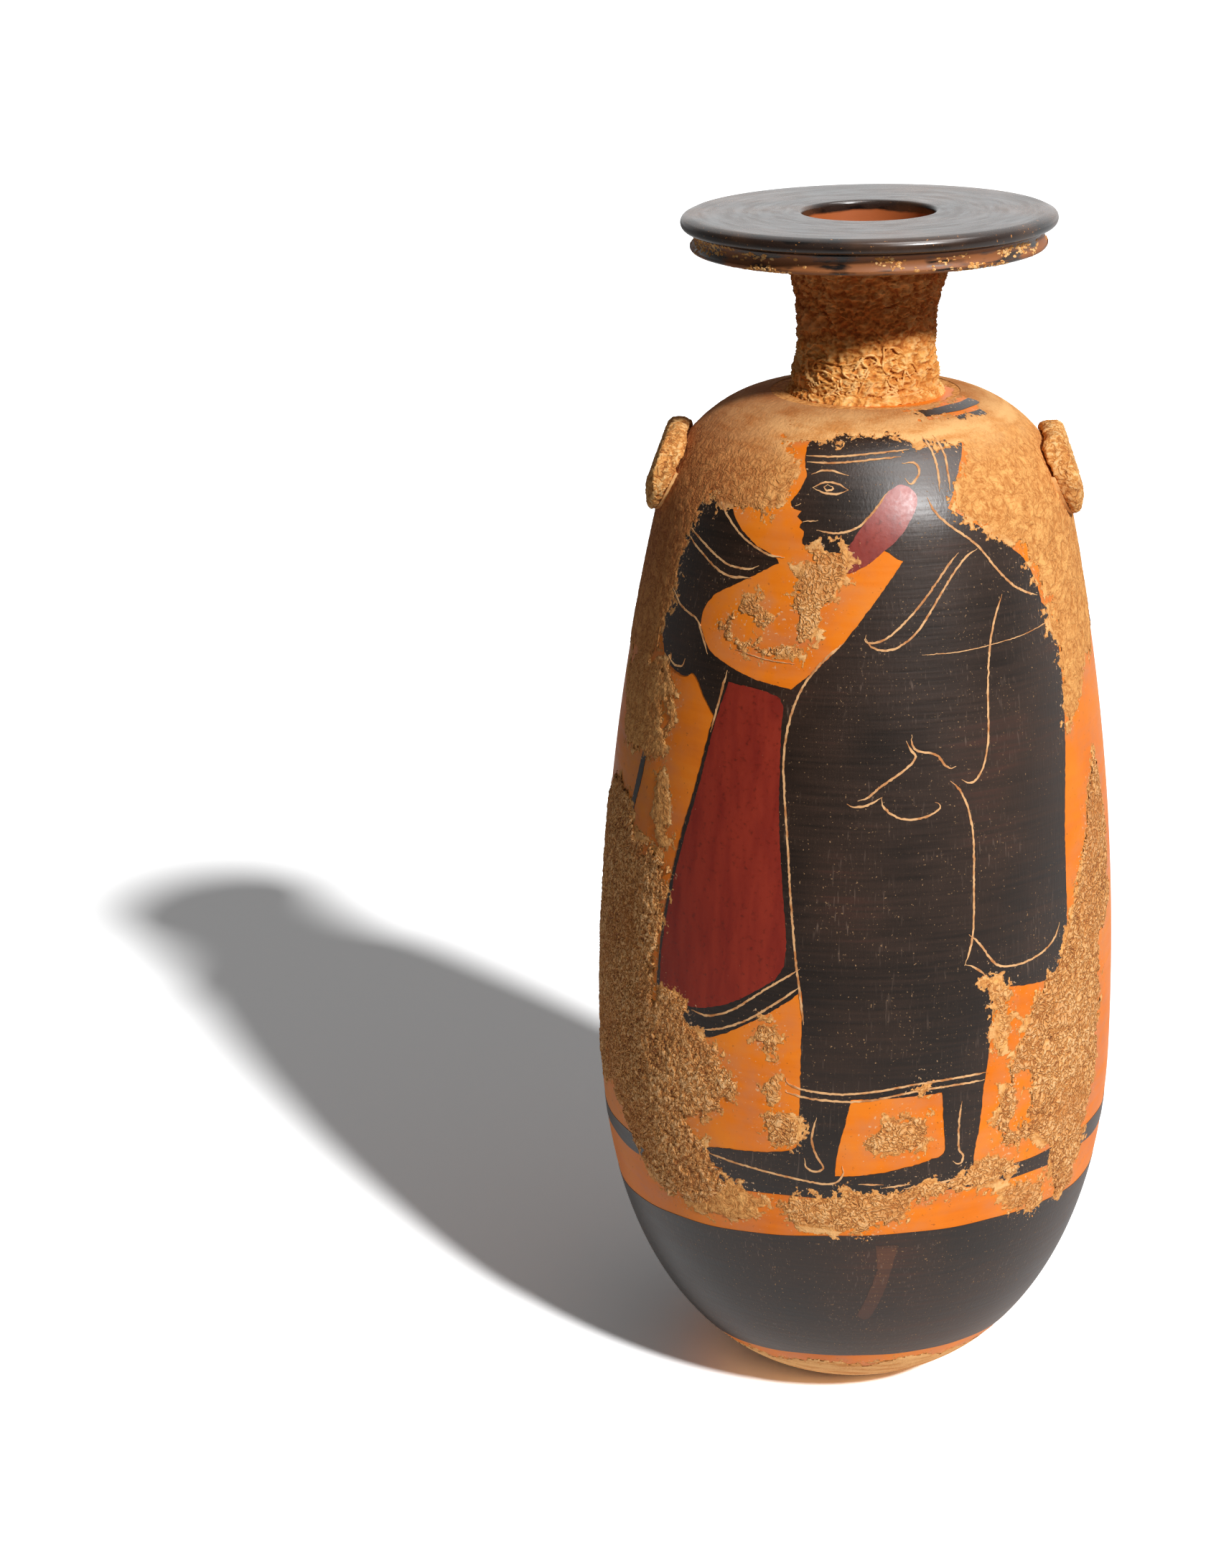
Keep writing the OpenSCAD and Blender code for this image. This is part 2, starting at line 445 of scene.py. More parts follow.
@dataclass(frozen=True)
class BodyProfile:
    """Half section of the thrown body, with the sizes of its construction."""

    height: float
    base_r: float = 9.0
    belly_r: float = 34.4
    belly_z: float = 47.5
    shoulder_r: float = 26.2
    shoulder_drop: float = 13.6
    shoulder_lean: float = 12.6
    land_r: float = 11.5
    wall: float = 3.2
    floor: float = 5.0
    hole_r: float = 6.8
    heel: Point = (13.0, 2.4)
    lower_pull: float = 29.0
    upper_pull: float = 32.4
    wall_pull: float = 18.0
    turn_pull: float = 8.3
    crown_pull: float = 6.0

    def curve(self, grow: float, start_z: float, steps: int) -> np.ndarray:
        """Half outline from the base to the shoulder's land.

        Args:
            grow: Distance outwards from the outer wall, negative for the inside.
            start_z: Height of the first point.
            steps: Points on each of the three stretches.

        Returns:
            Radius and height of each point, from the base up.
        """
        lean = math.radians(self.shoulder_lean)
        along = np.array([-math.sin(lean), math.cos(lean)])
        outwards = np.array([math.cos(lean), math.sin(lean)])
        base = np.array([self.base_r + grow / 4, start_z])
        belly = np.array([self.belly_r + grow, self.belly_z])
        turn = np.array([self.shoulder_r, self.height - self.shoulder_drop]) + grow * outwards
        crown = np.array([self.land_r, self.height + grow])
        up = np.array([0.0, 1.0])
        return np.vstack([
            base,
            cubic(base, base + self.heel, belly - self.lower_pull * up, belly, steps),
            cubic(belly, belly + self.upper_pull * up, turn - self.wall_pull * along, turn, steps),
            cubic(turn, turn + self.turn_pull * along, crown + [self.crown_pull, 0.0], crown, steps),
        ])

    def section(self) -> np.ndarray:
        """Closed half section of the hollow body, from the base's centre to the floor's.

        Returns:
            Radius and height of each point.
        """
        return np.vstack([
            [[r, 0.0] for r in np.linspace(0.0, self.base_r, 8)[:-1]],
            self.curve(0.0, 0.0, 72),
            [[self.hole_r, self.height], [self.hole_r, self.height - self.wall]],
            self.curve(-self.wall, self.floor, 24)[::-1],
            [[0.0, self.floor]],
        ])


class Wall:
    """Outer wall of the body, unrolled."""

    def __init__(self, profile: BodyProfile) -> None:
        """Measure the wall's curve.

        Args:
            profile: Body's half section.
        """
        curve = profile.curve(0.0, 0.0, 240)
        length = np.concatenate([[0.0], np.cumsum(np.hypot(*np.diff(curve, axis=0).T))])
        belly = np.argmax(curve[:, 0])
        slope = np.gradient(curve, length, axis=0)
        self.v = length - length[belly] + curve[belly, 1]
        self.r, self.z = curve.T
        self.out_r, self.out_z = slope[:, 1], -slope[:, 0]
        self.low, self.high = self.v[0], self.v[-1]

    def radius(self, v: np.ndarray) -> np.ndarray:
        """Radius of the wall at places up its curve."""
        return np.interp(v, self.v, self.r)

    def at_angle(self, angle: np.ndarray, v: np.ndarray, lift: float) -> np.ndarray:
        """Places on the wall.

        Args:
            angle: Angle round the axis from the front, in radians.
            v: Place up the wall's curve.
            lift: Distance outwards from the wall.

        Returns:
            Points in space, one a row.
        """
        r = self.radius(v) + lift * np.interp(v, self.v, self.out_r)
        z = np.interp(v, self.v, self.z) + lift * np.interp(v, self.v, self.out_z)
        return np.column_stack([r * np.sin(angle), -r * np.cos(angle), z])

    def at(self, places: np.ndarray, lift: float, turn: float) -> np.ndarray:
        """Points in space of places in x and v, lifted off the wall and turned round the axis by degrees."""
        x, v = places.T
        return self.at_angle(math.radians(turn) + x / self.radius(v), v, lift)

    def locate(self, points: np.ndarray) -> tuple[np.ndarray, np.ndarray]:
        """Angles from the front in radians, and places up the wall's curve, of points near the wall."""
        return np.arctan2(points[:, 0], -points[:, 1]), np.interp(points[:, 2], self.z, self.v)


def torn_edge(add: Adder, place: Source, cover: Source) -> Source:
    """Tear the edge of the crust's cover, by the same sum in a shader and in Geometry Nodes.

    Args:
        add: What adds a node to the tree.
        place: Place in metres.
        cover: Distance in from the crust's even edge.

    Returns:
        Distance in from the torn edge.
    """
    for size, reach in TEARS:
        noise = add(Kind.NOISE, place, per_size(size), 3.0, named={"Distortion": 0.7})
        moved = add(Kind.MULTIPLY_ADD, noise, 4.0 * reach * MM, cover)
        cover = add(Kind.SUBTRACT, moved, 2.0 * reach * MM)
    return cover


@dataclass(frozen=True)
class CrustDust:
    """Hem of the burial crust on clay and paint: matt tan islands and a dusty bloom, too fine for a mesh."""

    hollow: str = "#B06A2E"
    crest: str = "#E6A45C"
    bloom: str = "#BE8262"
    speck: str = "#E2B68A"
    film: float = 0.4
    grain_mm: float = 0.45
    grain_h: float = 0.14
    bloom_mm: float = 3.0
    speck_mm: float = 0.4
    matt: float = 0.9

    def lay(self, material: Material, colour: Node, gloss: Node, height: Node, depth_mm: float) -> Material:
        """Lay the dust over a finish and join both to the shader.

        Args:
            material: Finish's material.
            colour: Finish's colour.
            gloss: Its roughness.
            height: Its relief, from 0 to 1.
            depth_mm: Depth of that relief.

        Returns:
            The same material.
        """
        add = partial(add_node, material.node_tree)
        place = add(Kind.COORDINATES).outputs["Object"]
        cover = add(Kind.ATTRIBUTE, attribute_name="cover").outputs["Fac"]
        mask = add(Kind.RANGE, torn_edge(add, place, cover), -0.06 * MM, 0.06 * MM)
        grain = add(Kind.NOISE, place, per_size(self.grain_mm), 3.0)
        cloud = add(Kind.NOISE, place, per_size(self.bloom_mm), 6.0)
        near = add(Kind.RANGE, cover, -6.0 * MM, 0.0, 0.0, self.film)
        patchy = add(Kind.RANGE, cloud, 0.4, 0.66)
        bloomed = add(Kind.BLEND, add(Kind.MULTIPLY, near, patchy), colour, self.bloom)
        specks = add(Kind.NOISE, place, per_size(self.speck_mm), 2.0)
        close = add(Kind.RANGE, cover, -3.0 * MM, -0.4 * MM, 0.78, 0.63)
        dotted = add(Kind.RANGE, add(Kind.SUBTRACT, specks, close), 0.0, 0.06, 0.0, 0.75)
        flecked = add(Kind.BLEND, dotted, bloomed, self.speck)
        dust = set_ramp(add(Kind.RAMP, grain), (0.34, self.hollow), (0.6, self.crest))
        fine = add(Kind.BUMP, named={"Height": height, "Distance": depth_mm * MM, "Strength": 0.6})
        raised = add(Kind.MULTIPLY, grain, mask)
        coarse = add(Kind.BUMP, named={
            "Height": raised, "Distance": self.grain_h * MM, "Strength": 0.8, "Normal": fine,
        })
        shown = add(Kind.BLEND, mask, flecked, dust)
        rough = add(Kind.MIX, mask, gloss, self.matt)
        return shade(material, {"Base Color": shown, "Roughness": rough, "Normal": coarse})


@dataclass(frozen=True)
class ReservedClay:
    """Iron-rich clay, burnished and fired orange: soft sheen, faint wheel streaks and dark specks."""

    deep: str = "#DA6C10"
    plain: str = "#EE7E17"
    pale: str = "#F29030"
    speck: str = "#8A4318"
    blotch_mm: float = 16.0
    streak_mm: float = 14.0
    flatten: float = 14.0
    grain_mm: float = 0.5
    grain_h: float = 0.02
    specular: float = 0.22

    def build(self) -> Material:
        """Make the clay's material.

        Returns:
            The material.
        """
        material, add, place = start_material("burnished_orange_clay")
        flat = add(Kind.MAPPING, named={"Vector": place, "Scale": (1.0, 1.0, self.flatten)})
        blotch = add(Kind.NOISE, place, per_size(self.blotch_mm), 5.0)
        streak = add(Kind.NOISE, flat, per_size(self.streak_mm), 4.0)
        grain = add(Kind.NOISE, place, per_size(self.grain_mm), 3.0)
        tone = add(Kind.MULTIPLY_ADD, blotch, 0.75, add(Kind.MULTIPLY, streak, 0.25))
        ramp = set_ramp(add(Kind.RAMP, tone), (0.3, self.deep), (0.5, self.plain), (0.74, self.pale))
        dots = add(Kind.RANGE, grain, 0.67, 0.75, 0.0, 0.6)
        colour = add(Kind.BLEND, dots, ramp, self.speck)
        gloss = add(Kind.RANGE, streak, 0.3, 0.7, 0.4, 0.54)
        shade(material, {"Specular IOR Level": self.specular})
        return CrustDust().lay(material, colour, gloss, add(Kind.ADD, grain, streak), self.grain_h)


@dataclass(frozen=True)
class BlackSlip:
    """Sintered black slip: semi-gloss, brown where thin, with turning streaks, upright scratches and pits."""

    name: str = "sintered_black_slip"
    black: str = "#1C1007"
    brown: str = "#2E1C10"
    misfired: str = "#3C2013"
    scratch: str = "#80695A"
    pit: str = "#9A7650"
    blotch_mm: float = 18.0
    streak_mm: float = 10.0
    scratch_mm: float = 0.3
    scratch_h: float = 0.036
    pit_mm: float = 0.26
    wear_mm: float = 9.0
    flatten: float = 22.0
    lengthen: float = 0.09

    def build(self) -> Material:
        """Make the slip's material.

        Returns:
            The material.
        """
        material, add, place = start_material(self.name)
        flat = add(Kind.MAPPING, named={"Vector": place, "Scale": (1.0, 1.0, self.flatten)})
        tall = add(Kind.MAPPING, named={"Vector": place, "Scale": (1.0, 1.0, self.lengthen)})
        blotch = add(Kind.NOISE, place, per_size(self.blotch_mm), 4.0)
        streak = add(Kind.NOISE, flat, per_size(self.streak_mm), 5.0)
        scrape = add(Kind.NOISE, tall, per_size(self.scratch_mm), 2.0)
        pits = add(Kind.NOISE, place, per_size(self.pit_mm), 1.0)
        wear = add(Kind.NOISE, place, per_size(self.wear_mm), 3.0)
        tone = add(Kind.ADD, blotch, add(Kind.MULTIPLY_ADD, streak, 0.6, -0.1))
        ramp = set_ramp(add(Kind.RAMP, tone), (0.55, self.black), (0.82, self.brown), (0.98, self.misfired))
        worn = add(Kind.RANGE, wear, 0.42, 0.7, 0.0, 0.5)
        lines = add(Kind.MULTIPLY, add(Kind.RANGE, scrape, 0.62, 0.74), worn)
        scraped = add(Kind.BLEND, lines, ramp, self.scratch)
        level = add(Kind.MULTIPLY_ADD, wear, -0.1, 0.765)
        dots = add(Kind.RANGE, add(Kind.SUBTRACT, pits, level), 0.0, 0.04, 0.0, 0.8)
        colour = add(Kind.BLEND, dots, scraped, self.pit)
        gloss = add(Kind.RANGE, tone, 0.4, 0.9, 0.32, 0.45)
        dull = add(Kind.MULTIPLY_ADD, dots, 0.5, gloss)
        shade(material, {"IOR": SLIP_IOR})
        return CrustDust(film=0.0).lay(material, colour, dull, add(Kind.ADD, streak, scrape), self.scratch_h)


@dataclass(frozen=True)
class AddedRed:
    """Iron-oxide red laid over the slip: dull brick red, brushed upright and rubbed dark in places."""

    name: str = "added_iron_red"
    deep: str = "#7E1E10"
    plain: str = "#902A17"
    rubbed: str = "#40150D"
    blotch_mm: float = 9.0
    rub_mm: float = 0.6
    rub_h: float = 0.03
    narrow: float = 6.0
    specular: float = 0.36
    smooth: float = 0.46
    rough: float = 0.62

    def build(self) -> Material:
        """Make the red paint's material.

        Returns:
            The material.
        """
        material, add, place = start_material(self.name)
        tall = add(Kind.MAPPING, named={"Vector": place, "Scale": (self.narrow, self.narrow, 1.0)})
        blotch = add(Kind.NOISE, tall, per_size(self.blotch_mm), 5.0)
        rub = add(Kind.NOISE, place, per_size(self.rub_mm), 4.0)
        ramp = set_ramp(add(Kind.RAMP, blotch), (0.32, self.deep), (0.62, self.plain))
        worn = add(Kind.RANGE, rub, 0.58, 0.74, 0.0, 0.5)
        colour = add(Kind.BLEND, worn, ramp, self.rubbed)
        gloss = add(Kind.RANGE, rub, 0.3, 0.7, self.rough, self.smooth)
        shade(material, {"Specular IOR Level": self.specular})
        return CrustDust(film=0.0).lay(material, colour, gloss, rub, self.rub_h)


@dataclass(frozen=True)
class IncisedLine:
    """Line cut through the slip to the clay, filled with pale dust: matt tan."""

    dark: str = "#B9763F"
    pale: str = "#E2AE78"
    break_mm: float = 1.6
    matt: float = 0.75

    def build(self) -> Material:
        """Make the cut line's material.

        Returns:
            The material.
        """
        material, add, place = start_material("dust_filled_incision")
        dust = add(Kind.NOISE, place, per_size(self.break_mm), 4.0)
        ramp = set_ramp(add(Kind.RAMP, dust), (0.36, self.dark), (0.56, self.pale))
        return shade(material, {"Base Color": ramp, "Roughness": self.matt})


@dataclass(frozen=True)
class BurialCrust:
    """Lime and soil crust with rootlets' tracks: matt, granular, brown in its furrows and pale on its crests.

    Where it thins to a film it is pale with dark veins, and as a wash it is smooth and streaked.
    """

    name: str = "rootlet_burial_crust"
    furrow: str = "#52280E"
    hollow: str = "#B46C34"
    crest: str = "#E29C54"
    tip: str = "#F6C288"
    stain: str = "#C67838"
    wash_dark: str = "#D6904C"
    wash_pale: str = "#F2BA78"
    film_dark: str = "#BE7434"
    film_pale: str = "#F2B066"
    # Multiply tint above a height: on the body it darkens the crust at the neck's foot; on the neck it is
    # painted shade under the disc.
    brown: str = "#8A5229"
    brown_z: Point = (133.5, 136.8)
    # Painted shade: a tint that darkens the crust over the left of the shoulder, where shade falls.
    painted_shade: str = "#C8A8A0"
    painted_shade_up: Point = (128.0, 148.0)
    painted_shade_x: Point = (-3.0, -18.0)
    painted_shade_slope: float = -1.2
    furrow_mm: float = 0.6
    vein_mm: float = 1.9
    warp_mm: float = 2.2
    curl_mm: float = 2.2
    grit_mm: float = 0.24
    stain_mm: float = 8.0
    streak_mm: float = 5.0
    bump_mm: float = 0.36
    wash_d: Point = (0.065, 0.11)
    film_d: Point = (0.15, 0.2)
    flatten: float = 1.0
    streak_flatten: float = 5.0
    matt: float = 0.88
    specular: float = 0.3

    def build(self) -> Material:
        """Make the crust's material, which reads the relief and the depth that the crust's mesh holds.

        Returns:
            The material.
        """
        material, add, place = start_material(self.name)
        long = add(Kind.MAPPING, named={"Vector": place, "Scale": (1.0, 1.0, self.flatten)})
        flat = add(Kind.MAPPING, named={"Vector": place, "Scale": (1.0, 1.0, self.streak_flatten)})
        relief = add(Kind.ATTRIBUTE, attribute_name="relief").outputs["Fac"]
        depth = add(Kind.ATTRIBUTE, attribute_name="depth").outputs["Fac"]
        warp = add(Kind.NOISE, long, per_size(self.warp_mm), 2.0)
        bent = add(Kind.BEND, warp.outputs["Color"], (self.curl_mm * MM,) * 3, long)
        curl = add(Kind.NOISE, bent, per_size(self.furrow_mm), 2.0)
        vein = add(Kind.NOISE, bent, per_size(self.vein_mm), 2.0)
        grit = add(Kind.NOISE, bent, per_size(self.grit_mm), 2.0)
        stain = add(Kind.NOISE, place, per_size(self.stain_mm), 5.0)
        streak = add(Kind.NOISE, flat, per_size(self.streak_mm), 7.0)
        fold, crack = (add(Kind.ABSOLUTE, add(Kind.SUBTRACT, noise, 0.5)) for noise in (curl, vein))

        # Thick crust, by its height
        lobe = add(Kind.MULTIPLY_ADD, add(Kind.RANGE, fold, 0.0, 0.11), 0.36, -0.06)
        height = add(Kind.MULTIPLY_ADD, grit, 0.4, add(Kind.MULTIPLY_ADD, relief, 0.42, lobe))
        ramp = set_ramp(add(Kind.RAMP, height), (0.16, self.furrow), (0.36, self.hollow), (0.56, self.crest),
                        (0.82, self.tip))
        thick = add(Kind.BLEND, add(Kind.RANGE, stain, 0.48, 0.7, 0.0, 0.55), ramp, self.stain)

        # Film, by its veins
        dark = add(Kind.RANGE, crack, 0.02, 0.0, 0.0, 0.24)
        veined = add(Kind.MULTIPLY, dark, add(Kind.RANGE, stain, 0.4, 0.56))
        ripple = add(Kind.MULTIPLY_ADD, height, 0.6, add(Kind.RANGE, crack, 0.0, 0.2, 0.0, 0.3))
        tint = set_ramp(add(Kind.RAMP, ripple), (0.18, self.film_dark), (0.66, self.film_pale))
        film = add(Kind.BLEND, veined, tint, self.furrow)

        # Wash, by its streaks
        gritty = add(Kind.MULTIPLY_ADD, grit, 0.28, add(Kind.MULTIPLY, streak, 0.72))
        wash = set_ramp(add(Kind.RAMP, gritty), (0.38, self.wash_dark), (0.57, self.wash_pale))

        # All three by depth; darker above a height, at the neck's foot on the body and as painted shade under
        # the disc on the neck; painted shade over the left of the shoulder
        heavy = add(Kind.RANGE, depth, self.film_d[0] * MM, self.film_d[1] * MM)
        full = add(Kind.RANGE, depth, self.wash_d[0] * MM, self.wash_d[1] * MM)
        laid = add(Kind.BLEND, full, wash, add(Kind.BLEND, heavy, film, thick))
        across, _, up = add(Kind.SPLIT, place).outputs
        (low, high), (start, end) = self.painted_shade_up, self.painted_shade_x
        # Darker above a height; on the neck this is painted shade under the disc.
        rise = add(Kind.RANGE, up, self.brown_z[0] * MM, self.brown_z[1] * MM, 0.0, 0.75)
        # Painted shade over the left of the shoulder: a tint that grows with height and towards the left.
        slant = add(Kind.MULTIPLY_ADD, across, self.painted_shade_slope, up)
        above = add(Kind.RANGE, slant, low * MM, high * MM, 0.0, 0.75)
        corner = add(Kind.MULTIPLY, above, add(Kind.RANGE, across, start * MM, end * MM))
        colour = add(Kind.TINT, corner, add(Kind.TINT, rise, laid, self.brown), self.painted_shade)
        form = add(Kind.MIX, heavy, ripple, height)
        firm = add(Kind.RANGE, add(Kind.ADD, full, heavy), 0.0, 2.0, 0.3, 1.0)
        bump = add(Kind.BUMP, named={"Height": form, "Distance": self.bump_mm * MM, "Strength": firm})
        return shade(material, {
            "Roughness": self.matt, "Specular IOR Level": self.specular, "Base Color": colour, "Normal": bump,
        })


@dataclass(frozen=True)
class MouthSlip:
    """Black slip on the turned mouth: glossy and ringed on top, rubbed to the clay on the lower moulding."""

    top_z: float
    upper_z: float
    bore_r: float
    rim_r: float
    lean: float
    black: str = "#15100E"
    brown: str = "#2E2019"
    smudge: str = "#5A3C26"
    worn: str = "#9A5C2E"
    bare: str = "#AE5C2A"
    fleck: str = "#D08A4A"
    ring_mm: float = 0.9
    ring_h: float = 0.04
    sweep_mm: float = 3.0
    blotch_mm: float = 5.0
    pit_mm: float = 0.4
    cloud_mm: float = 11.0

    def build(self) -> Material:
        """Make the mouth's material.

        Returns:
            The material.
        """
        material, add, place = start_material("turned_mouth_slip")
        x, y, z = add(Kind.SPLIT, place).outputs
        height = add(Kind.MULTIPLY_ADD, x, -self.lean, z)
        radius = add(Kind.LENGTH, add(Kind.JOIN, x, y))
        sweep = add(Kind.MULTIPLY, add(Kind.ARCTAN2, y, x), self.sweep_mm * MM)
        turned = add(Kind.JOIN, radius, sweep, height)
        rings = add(Kind.NOISE, turned, per_size(self.ring_mm), 5.0)
        blotch = add(Kind.NOISE, place, per_size(self.blotch_mm), 4.0)
        pits = add(Kind.NOISE, place, per_size(self.pit_mm), 2.0)
        cloud = add(Kind.NOISE, place, per_size(self.cloud_mm), 5.0)
        tone = add(Kind.ADD, rings, blotch)
        ramp = set_ramp(add(Kind.RAMP, tone), (0.85, self.black), (1.0, self.brown))
        colour = add(Kind.BLEND, add(Kind.RANGE, cloud, 0.47, 0.68, 0.0, 0.7), ramp, self.smudge)
        lower = add(Kind.RANGE, height, self.upper_z * MM, (self.upper_z - 0.3) * MM)
        worn = add(Kind.MULTIPLY, lower, add(Kind.RANGE, tone, 0.84, 1.0, 0.0, 0.95))
        colour = add(Kind.BLEND, worn, colour, self.worn)
        edge = add(Kind.RANGE, radius, (self.rim_r - 2.0) * MM, (self.rim_r - 1.0) * MM, 0.12, 1.0)
        dots = add(Kind.MULTIPLY, add(Kind.RANGE, pits, 0.69, 0.74, 0.0, 0.8), edge)
        colour = add(Kind.BLEND, dots, colour, self.fleck)
        within = add(Kind.RANGE, radius, (self.bore_r + 0.2) * MM, self.bore_r * MM)
        ragged = add(Kind.MULTIPLY_ADD, blotch, 1.2 * MM, height)
        below = add(Kind.RANGE, ragged, (self.top_z - 0.5) * MM, (self.top_z - 0.8) * MM)
        bare = add(Kind.MULTIPLY, within, below)
        colour = add(Kind.BLEND, bare, colour, self.bare)
        sheen = add(Kind.RANGE, rings, 0.3, 0.7, 0.2, 0.32)
        gloss = add(Kind.MULTIPLY_ADD, add(Kind.MAXIMUM, worn, bare), 0.32, sheen)
        bump = add(Kind.BUMP, named={"Height": tone, "Distance": self.ring_h * MM, "Strength": 0.5})
        return shade(material, {"IOR": SLIP_IOR, "Base Color": colour, "Roughness": gloss, "Normal": bump})


class NodesTool:
    """Geometry Nodes tree with named inputs, which leaves an object a plain mesh in one finish."""

    NAME = ""
    INPUTS: dict[str, float | int] = {}
    SMOOTH = True

    def __init__(self) -> None:
        """Build the tree, from its inputs to the finish."""
        self.tree = bpy.data.node_groups.new(self.NAME, "GeometryNodeTree")
        self.add = partial(add_node, self.tree)
        face = self.tree.interface
        face.new_socket("Geometry", in_out="OUTPUT", socket_type="NodeSocketGeometry")
        face.new_socket("Geometry", in_out="INPUT", socket_type="NodeSocketGeometry")
        self.keys: dict[str, str] = {}
        for name, default in self.INPUTS.items():
            kind = "NodeSocketInt" if isinstance(default, int) else "NodeSocketFloat"
            socket = face.new_socket(name, in_out="INPUT", socket_type=kind)
            socket.default_value = default
            self.keys[name] = socket.identifier
        socket = face.new_socket("Finish", in_out="INPUT", socket_type="NodeSocketMaterial")
        self.keys["Finish"] = socket.identifier
        self.given = self.add(Kind.GROUP_INPUT).outputs
        real = self.add(Kind.REALIZE, self.wire())
        dressed = self.add(Kind.DRESS, named={"Geometry": real, "Material": self.given["Finish"]})
        self.add(Kind.GROUP_OUTPUT, dressed)

    def wire(self) -> Node:
        """Join the nodes that are the tool's own, and return the one with the geometry."""
        raise NotImplementedError

    def apply(self, thing: Thing, finish: Material, **values: float) -> None:
        """Work on an object and leave it a plain mesh.

        Args:
            thing: Object to work on.
            finish: Material of what comes out.
            **values: Inputs of the tree by name, with _ for a space.
        """
        modifier = thing.modifiers.new(self.NAME, "NODES")
        modifier.node_group = self.tree
        for name, value in {"Finish": finish, **values}.items():
            modifier[self.keys[name.replace("_", " ")]] = value
        settle(thing)
        if self.SMOOTH:
            thing.data.polygons.foreach_set("use_smooth", [True] * len(thing.data.polygons))


class CrustRelief(NodesTool):
    """Raises a wrinkled crust from a mesh and tears its edge."""

    NAME = "crust_relief"
    INPUTS = {
        "Even cover": 0.0, "Even depth": 0.0, "Bias": -0.12, "Sink": 0.08 * MM, "Trim": -0.3 * MM,
        "Wrinkle": 1.2 * MM, "Flatten": 1.0, "Seed": 0.0,
    }

    def _noise(self, place: Node, share: float, bend: float) -> Node:
        """Noise from 0 to 1 at a share of the wrinkles' size.

        Args:
            place: Place in metres.
            share: Feature size as a share of the Wrinkle input.
            bend: Distortion that curls the features.

        Returns:
            Node with the stretched noise.
        """
        scale = self.add(Kind.DIVIDE, 1.0 / share, self.given["Wrinkle"])
        noise = self.add(Kind.SEEDED_NOISE, place, self.given["Seed"], scale, 1.5, named={"Distortion": bend})
        return self.add(Kind.RANGE, noise, 0.3, 0.7)

    def _ridge(self, noise: Node) -> Node:
        """Thin crest, from 0 to 1, along the middle level of a noise."""
        fold = self.add(Kind.ABSOLUTE, self.add(Kind.MULTIPLY_ADD, noise, 2.0, -1.0))
        return self.add(Kind.RANGE, fold, 0.55, 0.0)

    def wire(self) -> Node:
        """Raise the mesh along its normals, mark it, and trim what lies outside the torn edge.

        Returns:
            Node with the crust.
        """
        add, given = self.add, self.given
        position = add(Kind.POSITION)
        place = add(Kind.STRETCH, position, add(Kind.JOIN, 1.0, 1.0, given["Flatten"]))
        crest = self._ridge(self._noise(place, 1.0, 1.4))
        strand = self._ridge(self._noise(place, 0.5, 1.8))
        broad = self._noise(place, 4.0, 0.5)
        strands = add(Kind.MULTIPLY_ADD, strand, 0.3, add(Kind.MULTIPLY, crest, 0.42))
        relief = add(Kind.MULTIPLY_ADD, broad, 0.28, strands)
        torn = torn_edge(add, position, add(Kind.ADD, add(Kind.READ, "cover"), given["Even cover"]))
        edge = add(Kind.EASE, torn, 0.0, 0.3 * MM)
        thick = add(Kind.ADD, add(Kind.READ, "depth"), given["Even depth"])
        raised = add(Kind.MULTIPLY, add(Kind.SUBTRACT, relief, given["Bias"]), thick)
        lifted = add(Kind.MULTIPLY, raised, edge)
        sunk = add(Kind.MULTIPLY, add(Kind.SUBTRACT, 1.0, edge), given["Sink"])
        move = add(Kind.SCALE, add(Kind.NORMAL), add(Kind.SUBTRACT, lifted, sunk))
        kept = given["Geometry"]
        for name, value in (("relief", relief), ("torn", torn), ("depth", thick)):
            kept = add(Kind.STORE, named={"Geometry": kept, "Name": name, "Value": value})
        moved = add(Kind.MOVE, named={"Geometry": kept, "Offset": move})
        return add(Kind.DELETE, moved, add(Kind.LESS, add(Kind.READ, "torn"), given["Trim"]))


class RootletCasts(NodesTool):
    """Turns thin paths into closed round casts."""

    NAME = "rootlet_casts"
    INPUTS = {"Radius": 0.1 * MM}

    def wire(self) -> Node:
        """Sweep a small circle along the paths.

        Returns:
            Node with the casts.
        """
        path = self.add(Kind.PATH, self.given["Geometry"])
        ring = self.add(Kind.CIRCLE, named={"Resolution": 8, "Radius": self.given["Radius"]})
        return self.add(Kind.TUBE, named={"Curve": path, "Profile Curve": ring, "Fill Caps": True})


